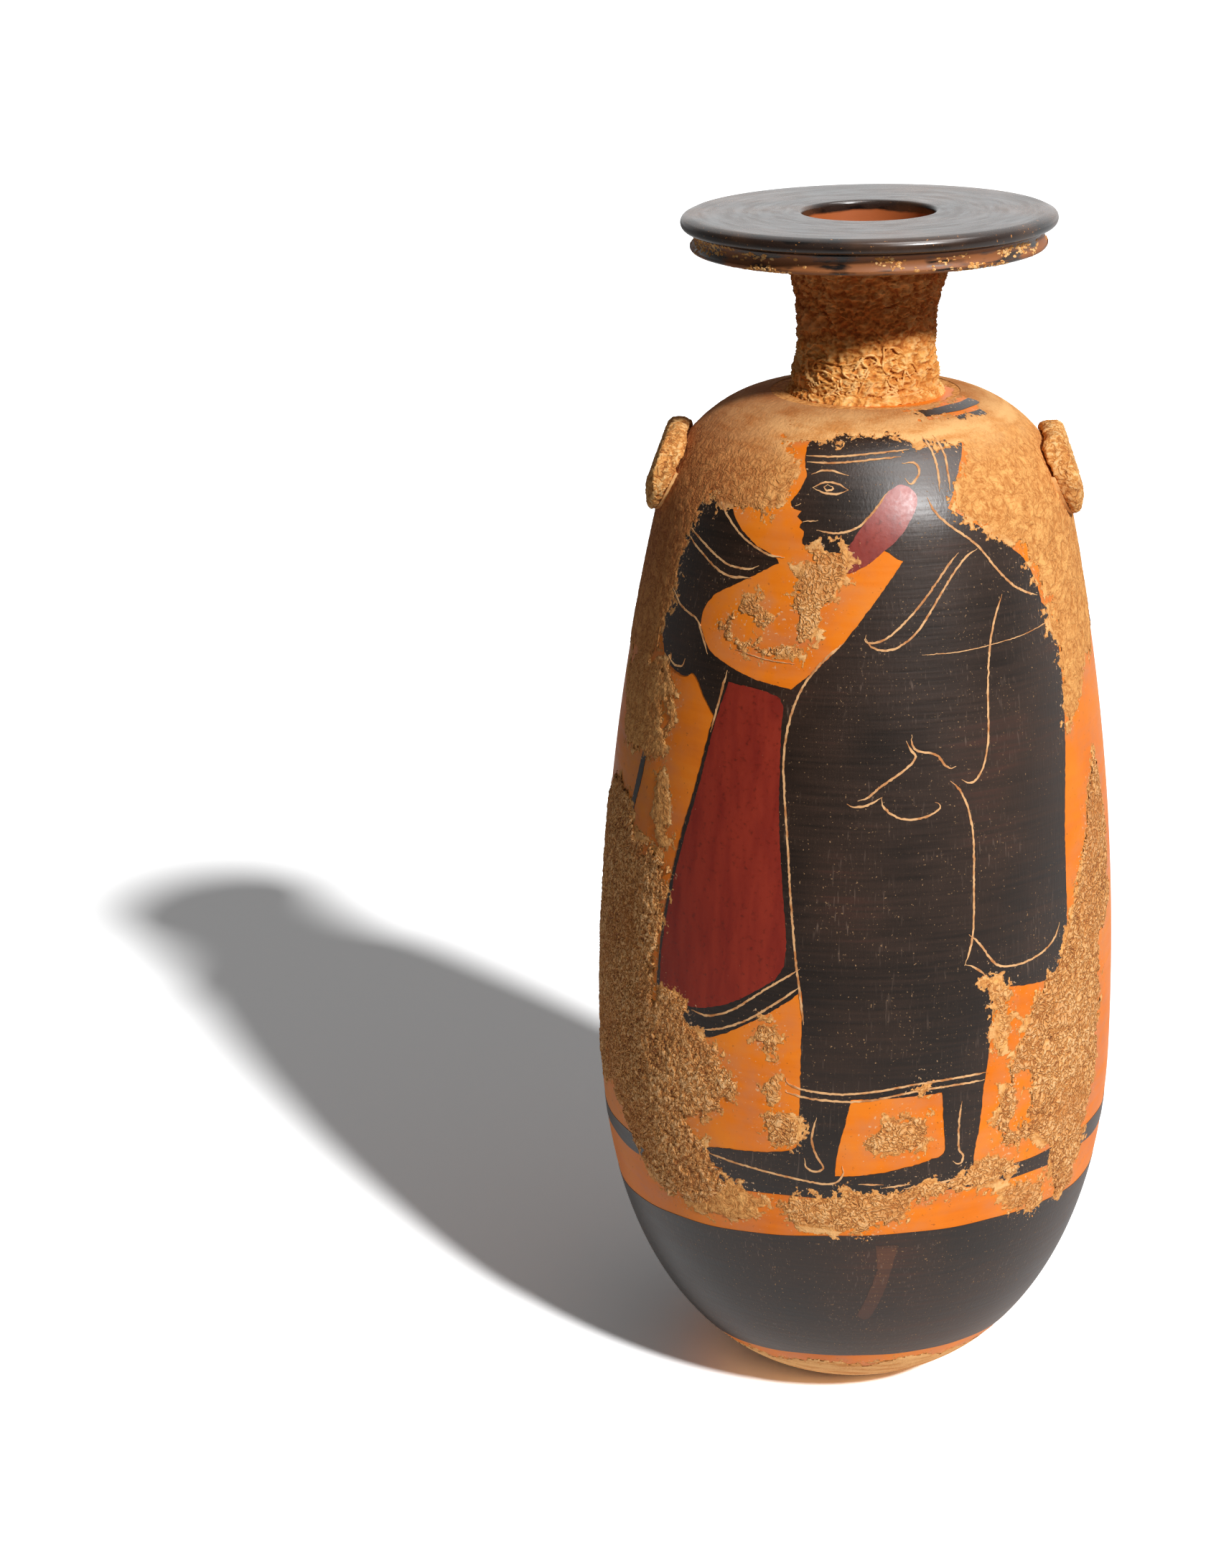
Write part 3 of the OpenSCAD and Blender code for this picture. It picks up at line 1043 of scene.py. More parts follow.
class RimFlecks(NodesTool):
    """Scatters flat flecks over a disc's edge, below its top and outside a radius, and leaves only them."""

    NAME = "rim_flecks"
    INPUTS = {"Below": 0.0, "Outside": 0.0, "Density": 0.0, "Seed": 0}
    SMOOTH = False
    CLOUD_MM = 4.0
    CLOUD_STRETCH = (0.5, 0.5, 2.4)
    SMALLEST = (0.1, 0.08, 0.03)
    LARGEST = (0.42, 0.26, 0.07)

    def wire(self) -> Node:
        """Scatter the flecks in clouds.

        Returns:
            Node with the flecks.
        """
        add, given = self.add, self.given
        place = add(Kind.POSITION)
        x, y, z = add(Kind.SPLIT, place).outputs
        radius = add(Kind.LENGTH, add(Kind.JOIN, x, y))
        both = add(Kind.BOTH, add(Kind.LESS, z, given["Below"]), add(Kind.MORE, radius, given["Outside"]))
        cloud = add(Kind.NOISE, add(Kind.STRETCH, place, self.CLOUD_STRETCH), per_size(self.CLOUD_MM), 3.0)
        density = add(Kind.MULTIPLY, add(Kind.RANGE, cloud, 0.5, 0.56, 0.02, 6.0), given["Density"])
        spots = add(Kind.SCATTER, named={
            "Mesh": given["Geometry"], "Selection": both, "Density": density, "Seed": given["Seed"],
        }).outputs
        spread = add(Kind.RANDOM, self.SMALLEST, self.LARGEST, named={"Seed": given["Seed"]})
        grain = add(Kind.GRAIN, 1.0 * MM, 1)
        return add(Kind.INSTANCE, named={
            "Points": spots["Points"], "Instance": grain, "Rotation": spots["Rotation"], "Scale": spread,
        })


@dataclass(frozen=True)
class CrustArea:
    """Area of crust, or a bare window in it, as an outline on the unrolled wall."""

    outline: Stroke
    depth: float = 0.2
    turn: float = 0.0
    lace: float = 0.0
    bare: bool = False

    def within(self, angle: np.ndarray, v: np.ndarray, radius: np.ndarray) -> np.ndarray:
        """Distance inside the area's edge.

        Args:
            angle: Angles round the axis from the front, in radians.
            v: Places up the wall.
            radius: Radius of the wall there.

        Returns:
            Distance in from the edge, negative outside.
        """
        turned = (angle - math.radians(self.turn) + math.pi) % (2 * math.pi) - math.pi
        x = turned * radius
        corners = np.array(self.outline, float)
        gap = np.full(x.shape, np.inf)
        odd = np.zeros(x.shape, bool)
        for (ax, av), (bx, bv) in zip(corners, np.roll(corners, -1, axis=0)):
            dx, dv = bx - ax, bv - av
            along = np.clip(((x - ax) * dx + (v - av) * dv) / (dx * dx + dv * dv), 0.0, 1.0)
            gap = np.minimum(gap, np.hypot(x - ax - along * dx, v - av - along * dv))
            if av != bv:
                odd ^= ((av > v) != (bv > v)) & (x < (v - av) * dx / dv + ax)
        return np.where(odd, gap, -gap)


@dataclass
class CrustMap:
    """Where the burial crust lies on the body's wall, and how thick it is."""

    wall: Wall
    shoulder_v: float = 136.6
    side_drop: float = 3.0
    base_v: float = 5.6
    foot_v: float = -9.2
    lean: float = 2.0
    droop: float = 3.0
    spread: float = 0.5
    hem: float = 1.2
    hem_start: float = 0.6
    wash: float = 0.06
    fade: float = 9.0
    fade_over: float = 1.0
    inner_gap: float = 1.0

    AREAS = (
        CrustArea([(-10.5, 136), (-8.5, 132), (-9.5, 128), (-13, 125.2), (-18.5, 126.5), (-22.5, 125.5),
                   (-25.5, 120.5), (-27.5, 113.5), (-30.5, 108), (-31, 104), (-45, 103), (-49, 107),
                   (-46, 112), (-50, 117), (-47, 123), (-51, 130), (-46, 138.5), (-12, 138.5)], 0.13),
        CrustArea([(-31, 103.5), (-28, 104), (-26.5, 101.5), (-26.5, 97), (-28.5, 93), (-31.5, 91.5),
                   (-40, 92), (-42, 100), (-36, 104)], 0.16),
        CrustArea([(-28.6, 91), (-27, 87), (-27, 82), (-28.6, 79.5), (-29.4, 85)], 0.15),
        CrustArea([(-37, 85), (-34.5, 79), (-31, 80), (-26.5, 78), (-28, 73), (-28.8, 68), (-29.5, 60.5),
                   (-26.5, 62), (-23.5, 61.5), (-23, 58), (-18, 56), (-15, 52), (-17.5, 49), (-23, 45.5),
                   (-19.5, 41), (-17, 38), (-20, 34.5), (-26, 33), (-31.5, 36.5), (-35.5, 40), (-40, 44),
                   (-46, 43), (-50, 47), (-48, 53), (-53, 60), (-50, 68), (-54, 76), (-48, 82), (-43, 86)],
                   0.36),
        CrustArea([(-19, 110.5), (-16, 113), (-15, 114.5), (-13, 115.2), (-11.5, 113.2), (-9, 112.2),
                   (-8, 115.5), (-7.5, 118), (-5.5, 121.3), (-2.2, 121.4), (-2, 120), (-3, 117),
                   (-4.5, 114), (-6.5, 110.5), (-8, 108.8), (-12, 108.2), (-17, 109)], 0.19, lace=0.1),
        CrustArea([(-30, 38), (-26, 37.5), (-16, 38.5), (-11, 36.5), (-13, 33.5), (-22, 32.5), (-30, 34.5)],
                   0.14),
        CrustArea([(-12, 61.5), (-10, 62), (-9.4, 59), (-9.8, 56.5), (-11, 58), (-12.5, 58.6)], 0.19,
                   lace=0.2),
        CrustArea([(-12.2, 53.5), (-9.8, 55), (-8.8, 53.5), (-9.5, 50.5), (-11.5, 51)], 0.19, lace=0.4),
        CrustArea([(-12, 48.5), (-9, 50), (-6.8, 48.5), (-6.8, 45.6), (-9.5, 45), (-11.5, 46)], 0.2,
                   lace=0.3),
        CrustArea([(1.5, 46.5), (3, 45), (8.5, 45), (10.8, 47.5), (9.5, 49.8), (6, 50.2), (3.5, 48.8)],
                   0.19, lace=0.2),
        CrustArea([(8, 53), (9.5, 55), (10.5, 53.5), (9.2, 52.2)], 0.16),
        CrustArea([(-9, 36.5), (-6, 37.8), (-3, 37.5), (0, 39.2), (3, 38.8), (8, 39.8), (14, 40.3),
                   (18, 42.5), (22, 42.5), (23, 39.5), (18, 39), (12, 38), (7.5, 37.5), (6, 34.8),
                   (2, 33.2), (-3, 34.2), (-7, 34.2)], 0.19),
        CrustArea([(20, 37), (24, 37.5), (28, 36.5), (28.5, 33), (25.5, 31.8), (22, 34)], 0.19, lace=0.4),
        CrustArea([(16.6, 66.8), (19, 66.4), (21.2, 65.2), (20.6, 59), (19.4, 56.8), (19, 62), (18, 64.8)],
                   0.18, lace=0.2),
        CrustArea([(36.5, 86), (34.8, 78), (33.2, 74), (30.5, 68), (25.5, 63), (23.5, 58), (21.5, 54),
                   (19.2, 46), (21, 43.5), (26, 44.5), (29, 41.5), (31, 33), (34.5, 33), (38, 43), (40, 49),
                   (41, 58.5), (40.5, 66), (45, 70.5), (44, 80), (39, 91)], 0.23),
        CrustArea([(12.5, 138), (13.8, 133.5), (12.6, 130), (12, 126.6), (14, 125.2), (16, 124.3),
                   (21, 121.2), (24, 118), (25.2, 115.5), (27.4, 113.5), (27.6, 110), (29.7, 107),
                   (29.5, 102), (31.5, 96.5), (35, 100), (37.5, 105), (41, 103), (43.5, 108), (48, 107),
                   (50, 113), (46.5, 119), (49, 126), (43, 139)], 0.13),
        CrustArea([(-46, 105), (-38, 108), (-34, 104.5), (-27, 108), (-24, 113.5), (-18, 112), (-15, 118),
                   (-19, 123), (-17, 129), (-23, 132), (-26, 138.5), (-46, 138.5)], 0.14, 180.0),
        CrustArea([(23, 41), (29, 43.5), (33, 39), (38, 42), (46, 41), (51, 45), (58, 50), (57, 62),
                   (60, 70), (53, 79), (47, 83), (42, 80), (39, 82), (35, 86), (30, 79), (26, 77), (28, 70),
                   (31, 66), (29, 59), (32, 53), (27, 48)], 0.3, 180.0),
        CrustArea([(-45, 43), (-38, 40.5), (-34, 44), (-28, 42.5), (-25, 47), (-29, 52), (-24, 58),
                   (-27, 65), (-32, 69), (-29, 75), (-34, 80), (-39, 77), (-45, 83)], 0.22, 180.0),
        CrustArea([(-3, 58), (1, 60.5), (5, 58.5), (8.5, 62), (7, 66), (10, 70), (8, 74), (4, 72), (2, 76),
                   (-1, 71), (-4, 67), (-1.5, 63)], 0.2, 180.0, 0.4),
        CrustArea([(-19, 35.5), (-12, 37.5), (-6, 35), (1, 37), (8, 35.5), (12, 38.5), (9, 41.5), (3, 39.5),
                   (-4, 42), (-10, 39.5), (-16, 41)], 0.19, 180.0),
        CrustArea([(9, 121), (14, 123.5), (18, 119.5), (24, 121), (29, 117.5), (36, 120), (38, 131),
                   (34, 138.5), (16, 138.5), (14, 132), (9, 129), (12, 125)], 0.14, 180.0),
        CrustArea([(-29.2, 99.6), (-27.9, 99.6), (-27.6, 97.6), (-28.6, 96.8)], bare=True),
        CrustArea([(-16.5, 111.2), (-14.5, 111.6), (-13.2, 110.6), (-15, 109.8)], bare=True),
        CrustArea([(-12, 111), (-9.8, 111.2), (-9, 110.2), (-11.5, 109.8)], bare=True),
        CrustArea([(6, 141.4), (9, 140.2), (13, 139.5), (17, 139.9), (17.5, 141.6), (12, 142.2),
                   (7.5, 142.4)], bare=True),
        CrustArea([(23, 52.5), (24.5, 52), (24.8, 46.5), (22.6, 46.5)], bare=True),
    )

    def field(self, angle: np.ndarray, v: np.ndarray) -> tuple[np.ndarray, np.ndarray]:
        """Crust's cover and depth at places on the wall.

        Args:
            angle: Angles round the axis from the front, in radians.
            v: Places up the wall.

        Returns:
            Distance in from the crust's edge, and the crust's depth.
        """
        radius = self.wall.radius(v)
        side = np.sin(angle)
        depth = np.full(v.shape, self.wash)
        heel = np.minimum(self.base_v + self.lean * side - self.droop * side ** 2 - v, v - self.foot_v)
        cover = np.maximum(v - self.shoulder_v + self.side_drop * np.abs(side), heel)
        for area in self.AREAS:
            reach = area.within(angle, v, radius) + self.spread - area.lace
            if area.bare:
                cover = np.minimum(cover, -reach)
            else:
                near = np.clip(reach / self.hem + self.hem_start, 0.0, 1.0)
                depth = np.maximum(depth, area.depth * near)
                cover = np.maximum(cover, reach)
        smooth = np.clip((self.shoulder_v + self.fade_over - v) / self.fade, 0.0, 1.0)
        return cover, self.wash + (depth - self.wash) * smooth

    def dust(self, thing: Thing) -> None:
        """Mark the crust's cover on a piece that lies on the wall.

        Args:
            thing: Body or layer of paint.
        """
        points = np.empty(len(thing.data.vertices) * 3, np.float32)
        thing.data.vertices.foreach_get("co", points)
        points = points.reshape(-1, 3) / MM
        angle, v = self.wall.locate(points)
        cover, _ = self.field(angle, v)
        within = np.hypot(points[:, 0], points[:, 1]) < self.wall.radius(v) - self.inner_gap
        mark(thing, "cover", np.where(within, -FAR, cover))


@dataclass
class WallCrust:
    """Burial crust on the body's wall, in sectors."""

    chart: CrustMap
    relief: CrustRelief
    step: float = 0.29
    margin: float = 3.2
    lift: float = 0.03
    land: float = 0.5
    sectors: int = 6

    def build(self, crust: Material) -> None:
        """Make the crust, sector by sector.

        Args:
            crust: Crust's material.
        """
        wall = self.chart.wall
        columns = round(2 * math.pi * wall.r.max() / self.step)
        columns -= columns % self.sectors
        rows = round((wall.high - wall.low) / self.step)
        v_line = np.linspace(wall.low, wall.high - self.land, rows + 1)
        per = columns // self.sectors
        for sector in range(self.sectors):
            turn = np.arange(per + 1) + sector * per
            angle, v = np.meshgrid(turn * 2 * math.pi / columns - math.pi, v_line)
            cover, depth = self.chart.field(angle, v)
            keep = cover > -self.margin
            cells = keep[:-1, :-1] & keep[1:, :-1] & keep[:-1, 1:] & keep[1:, 1:]
            used = np.zeros(keep.shape, bool)
            for corner in (used[:-1, :-1], used[1:, :-1], used[:-1, 1:], used[1:, 1:]):
                corner |= cells
            number = np.full(keep.shape, -1)
            number[used] = np.arange(used.sum())
            row, column = np.nonzero(cells)
            corners = ((row, column), (row, column + 1), (row + 1, column + 1), (row + 1, column))
            faces = np.column_stack([number[corner] for corner in corners])
            points = wall.at_angle(angle[used], v[used], self.lift)
            thing = MeshBuilder().add(points, faces.tolist()).build(f"wall_crust_{sector + 1}", crust)
            mark(thing, "cover", cover[used])
            mark(thing, "depth", depth[used])
            self.relief.apply(thing, crust, Seed=2.0)
            finish_piece(thing, Slot.CRUSTED)


@dataclass
class FlaskBody:
    """Thrown body with its reserved clay surface."""

    profile: BodyProfile
    chart: CrustMap
    segments: int = 288

    def build(self, clay: Material) -> None:
        """Make the body.

        Args:
            clay: Clay's material.
        """
        body = MeshBuilder().add(*lathe(self.profile.section(), self.segments)).build("body_clay", clay)
        self.chart.dust(body)
        finish_piece(body, Slot.PAINTED, "body")


@dataclass
class PaintLayer:
    """Thin layers that lie on the wall: filled outlines, cut lines and bands."""

    wall: Wall
    turn: float = 0.0
    mirror: bool = False
    under: float = 0.06
    edge_step: float = 0.45
    edge_waver: float = 0.035
    fill_step: float = 1.1
    fill_waver: float = 0.2
    fill_gap: float = 0.4
    cut_w: float = 0.26
    cut_step: float = 0.3
    short_cut_step: float = 0.1
    cut_swell: float = 0.12
    cut_waver: float = 0.025
    band_step: float = 0.8
    columns: int = 360
    rng: np.random.Generator = field(default_factory=lambda: np.random.default_rng(11))

    def _close(self, places: np.ndarray, faces: Faces, lift: float) -> tuple[np.ndarray, Faces]:
        """Turn a flat sheet into a thin closed layer on the wall.

        Args:
            places: x and v of each point.
            faces: Faces, anticlockwise as seen from outside.
            lift: Height of the layer's top over the clay.

        Returns:
            Points and faces of the layer.
        """
        if self.mirror:
            places = places * [-1.0, 1.0]
            faces = [face[::-1] for face in faces]
        count = len(places)
        points = np.vstack([self.wall.at(places, height, self.turn) for height in (lift, -self.under)])
        used = dict.fromkeys((a, b) for face in faces for a, b in zip(face, face[1:] + face[:1]))
        rim = [[b, a, a + count, b + count] for a, b in used if (b, a) not in used]
        back = [[i + count for i in face[::-1]] for face in faces]
        return points, faces + back + rim

    def fill(self, builder: MeshBuilder, strokes: list[Stroke], lift: float) -> None:
        """Fill an outline.

        Args:
            builder: Mesh that takes the layer.
            strokes: Outline's strokes in order, each without its start, where the one before it ends.
            lift: Height of the layer's top over the clay.
        """
        pairs = zip(strokes[-1:] + strokes[:-1], strokes)
        ring = np.vstack([flow(before[-1:] + stroke, self.edge_step)[:-1] for before, stroke in pairs])
        ring = ring + self.rng.normal(0.0, self.edge_waver, ring.shape)
        spans = zip(ring.min(axis=0), ring.max(axis=0))
        lines = (np.arange(low, high, self.fill_step) for low, high in spans)
        grid = np.stack(np.meshgrid(*lines), axis=-1).reshape(-1, 2)
        grid = grid + self.rng.uniform(-self.fill_waver, self.fill_waver, grid.shape)
        grid = grid[inside(grid, ring)]
        gap = np.min(np.hypot(*(grid[:, None] - ring[None]).transpose(2, 0, 1)), axis=1)
        grid = grid[gap > self.fill_gap]
        count = len(ring)
        edges = [(i, (i + 1) % count) for i in range(count)]
        vectors = [Vector(p) for p in np.vstack([ring, grid])]
        made, _, faces, *_ = delaunay_2d_cdt(vectors, edges, [], 1, 1e-5)
        builder.add(*self._close(np.array([tuple(p) for p in made]), [list(f) for f in faces], lift))

    def cut(self, builder: MeshBuilder, knots: Stroke, lift: float, width: float) -> None:
        """Lay one incised line.

        Args:
            builder: Mesh that takes the line.
            knots: Points that the line passes through.
            lift: Height of the line's top over the clay.
            width: Width of the line.
        """
        path = flow(knots, self.cut_step)
        if len(path) < 3:
            path = flow(knots, self.short_cut_step)
        count = len(path)
        along = np.gradient(path, axis=0)
        along = along / np.maximum(np.hypot(*along.T), 1e-9)[:, None]
        side = np.column_stack([-along[:, 1], along[:, 0]])
        share = np.linspace(0.0, 1.0, count)
        taper = np.clip(np.minimum(share, 1.0 - share) * count / 5.0, 0.25, 1.0)
        half = 0.5 * width * taper * (1.0 + self.rng.normal(0.0, self.cut_swell, count))
        path = path + side * self.rng.normal(0.0, self.cut_waver, count)[:, None]
        places = np.vstack([path + side * half[:, None], path - side * half[:, None]])
        faces = [[i + count, i + 1 + count, i + 1, i] for i in range(count - 1)]
        builder.add(*self._close(places, faces, lift))

    def band(self, builder: MeshBuilder, edges: Point, lift: float, sag: Point = (0.0, 0.0),
             waver: float = 0.12) -> None:
        """Lay a band right round the flask.

        Args:
            builder: Mesh that takes the band.
            edges: Places of its lower and upper edge up the wall, at the front.
            lift: Height of the band's top over the clay.
            sag: How much higher it runs at the right, and how far it droops towards both sides.
            waver: How far the edges waver.
        """
        columns = self.columns
        low, high = edges
        angle = np.arange(columns) * 2 * math.pi / columns
        waves = np.sin(3 * angle + low) + 0.6 * np.sin(8 * angle + 2 * high) + 0.4 * np.sin(19 * angle)
        sway = waver * waves
        course = sag[0] * np.sin(angle) - sag[1] * np.sin(angle) ** 2
        lower = low + sway + course
        upper = high + np.roll(sway, 47) + course
        rows = max(2, round((high - low) / self.band_step) + 1)
        v = lower + (upper - lower) * np.linspace(0.0, 1.0, rows)[:, None]
        turned = np.broadcast_to(angle, v.shape)
        points = [self.wall.at_angle(turned.ravel(), v.ravel(), height) for height in (lift, -self.under)]
        count = rows * columns
        last = count - columns
        faces = []
        for i in range(columns):
            j = (i + 1) % columns
            for row in range(rows - 1):
                a, b = row * columns, (row + 1) * columns
                faces.append([a + i, a + j, b + j, b + i])
                faces.append([count + b + i, count + b + j, count + a + j, count + a + i])
            faces.append([count + i, count + j, j, i])
            faces.append([last + i, last + j, count + last + j, count + last + i])
        builder.add(np.vstack(points), faces)


@dataclass
class SlipBands:
    """Black bands: lower zone, ground line, rings round the neck, and brush strokes at the side and below."""

    chart: CrustMap
    zone: Point = (8.2, 32.6)
    zone_sag: Point = (2.0, 3.0)
    ground: Point = (38.4, 40.6)
    ground_sag: Point = (1.0, 1.5)
    ground_waver: float = 0.2
    rings: tuple[Point, ...] = ((138.1, 139.4), (140.4, 142.0))
    lift: float = 0.05
    streak_over: float = 0.02

    # Each stroke starts where the one before it ends, and the first where the last ends.
    SIDE_STROKE = [
        [(-33.6, 90.5), (-34.8, 87), (-36.2, 83.5), (-36.8, 80)],
        [(-35.9, 80)],
        [(-34.9, 84), (-33.4, 87.5), (-32.3, 91), (-31.2, 93.5)],
        [(-32.6, 93.5)],
    ]
    THIN_STREAK = [
        [(3.6, 27), (2.6, 23), (1.2, 18.5)],
        [(2, 17.6), (2.9, 18)],
        [(4.6, 23), (5.6, 27.5), (6.2, 31)],
        [(3.4, 31)],
    ]

    def build(self, slip: Material, thin: Material) -> None:
        """Make the bands.

        Args:
            slip: Black slip's material.
            thin: Material of slip that is thin and brown.
        """
        layer = PaintLayer(self.chart.wall)
        lower, lines, streak = (MeshBuilder() for _ in range(3))
        layer.band(lower, self.zone, self.lift, self.zone_sag)
        layer.band(lines, self.ground, self.lift, self.ground_sag, self.ground_waver)
        for ring in self.rings:
            layer.band(lines, ring, self.lift)
        layer.fill(lines, self.SIDE_STROKE, self.lift)
        layer.fill(streak, self.THIN_STREAK, self.lift + self.streak_over)
        for builder, name, finish in (
            (lower, "lower_slip_zone", slip), (lines, "slip_lines", slip), (streak, "thin_slip_streak", thin),
        ):
            piece = builder.build(name, finish)
            self.chart.dust(piece)
            finish_piece(piece, Slot.BLACK)


class Held(Enum):
    """What the painted figure holds."""

    HORN = "horn"
    STAFF = "staff"


@dataclass
class PaintedFigure:
    """Standing bearded man in a mantle, in the common black-figure manner, drawn in places on the wall."""

    chart: CrustMap
    name: str
    held: Held
    turn: float = 0.0
    mirror: bool = False
    slip_lift: float = 0.05
    coat_step: float = 0.002
    red_lift: float = 0.075
    cut_lift: float = 0.085
    scratch_w: float = 0.1

    # Outlines: each stroke starts where the one before it ends, and the first where the last ends.
    HEAD = [
        [(2.5, 138), (-3, 137.4), (-6.6, 135.6), (-7.2, 132.6), (-6.9, 130.6)],
        [(-7.9, 128.6), (-8.9, 127.2)],
        [(-8.6, 126.5), (-7.5, 126.2)],
        [(-7.9, 125.5), (-7.3, 124.9)],
        [(-7.7, 124.3), (-7.1, 123.7)],
        [(-7.3, 122.4), (-5.6, 121.5), (-2, 121.4)],
        [(0.5, 120.5), (2.5, 122)],
        [(5, 120.5), (9, 121), (10.5, 126.5)],
        [(11.2, 128.2), (12, 131), (12.7, 134), (12.2, 136), (10, 137.2)],
    ]
    BEARD = [
        [(4.5, 129.8), (6.2, 128.8), (6.5, 127), (5, 124), (3, 122), (0.5, 120), (-1.5, 119)],
        [(-2.5, 119.5), (-2, 121.5), (-0.5, 124), (1.5, 126.8), (3, 129)],
    ]
    MANTLE = [
        [(5, 120.5)],
        [(3, 117.5), (0.5, 114), (-2.5, 110), (-5.5, 107), (-9, 104)],
        [(-9.2, 96), (-8.8, 86), (-8, 76), (-6.5, 66), (-6.5, 57), (-6.5, 50)],
        [(-3, 51.5), (0, 52.3), (6, 52.5), (11.5, 52.7), (17.2, 52)],
        [(18, 59), (18.3, 66.5)],
        [(20, 65.7), (24, 65), (28.5, 65), (31, 67.5)],
        [(30.8, 74), (30.2, 84), (30.3, 95), (29.8, 103), (28.3, 110), (25.5, 113)],
        [(24.5, 115.5), (22.5, 118.5), (20, 120.5), (17, 122.5), (13, 125), (10.5, 126.5)],
        [(6, 125), (2.5, 122)],
    ]
    SKIRT = [
        [(-19.5, 98.5), (-21.5, 91.5), (-24, 84), (-26, 77), (-27.6, 70), (-28.5, 62.5)],
        [(-26, 58.5), (-22, 57)],
        [(-17, 59), (-10, 63.5), (-6, 66.8)],
        [(-7.5, 85), (-8.5, 104.5)],
        [(-12.5, 105), (-17, 105.5)],
    ]
    RED_PANEL = [
        [(-13, 104), (-10.2, 103.4), (-9.4, 102.4)],
        [(-9.7, 96), (-9.7, 88), (-9.2, 80), (-8.6, 73), (-8.9, 69.5), (-10, 67.5)],
        [(-14.5, 64.3), (-18, 62.5), (-22.5, 61.4), (-27.8, 62.4)],
        [(-27.4, 68), (-26.2, 74), (-24.3, 81), (-21.1, 91), (-19, 98.5), (-17, 104.2)],
    ]
    FOREARM = [
        [(-12.5, 104.9), (-16, 105.9), (-20, 107.5), (-22, 110.5)],
        [(-25.5, 108), (-25, 104)],
        [(-22.5, 104), (-21, 102), (-19, 99.5)],
        [(-13, 102), (-8.8, 104.2)],
    ]
    FIST = [
        [(-24.5, 112.2), (-27.8, 113.4), (-29.8, 111.5), (-29.8, 108), (-28.5, 104.8), (-25.5, 103.6),
         (-23, 104.4), (-21.8, 110.8)],
    ]
    HORN = [
        [(-22.5, 125.5), (-24.4, 122.5), (-26.6, 118.5), (-27.7, 113.4)],
        [(-25, 111.5), (-21.8, 110.8)],
        [(-21.2, 112.6), (-19.5, 114.5), (-16, 116.5), (-12.5, 118.4), (-10.3, 119.7)],
        [(-11, 120.4), (-14, 121.8), (-16.5, 124), (-17.4, 126), (-17.8, 127.2)],
        [(-19.8, 127.5)],
    ]
    STAFF = [
        [(-26.8, 84), (-26.2, 124)],
        [(-28.6, 125.4), (-27.6, 128), (-24.4, 128), (-23.4, 125.6), (-24.8, 124)],
        [(-25.4, 84), (-25, 41)],
        [(-26.4, 41)],
    ]
    NEAR_FOOT = [
        [(-6.7, 46.5), (-7.5, 44.8), (-11.5, 43.8), (-17.5, 43), (-20.5, 42.2)],
        [(-20, 40.4), (-10, 39.6), (-2, 39.6)],
        [(-1.8, 44), (-1, 48), (0, 52.6)],
        [(-6.5, 52.4)],
    ]
    FAR_FOOT = [
        [(11.9, 47.5), (12, 44.4), (10.4, 43.6), (6.5, 42.6), (1.2, 41.7), (-2, 41.5)],
        [(-2, 39.6), (8, 39.4), (16, 39.6)],
        [(16.2, 43.5), (16.8, 47.5), (17.2, 52.2)],
        [(11.5, 52.8)],
    ]
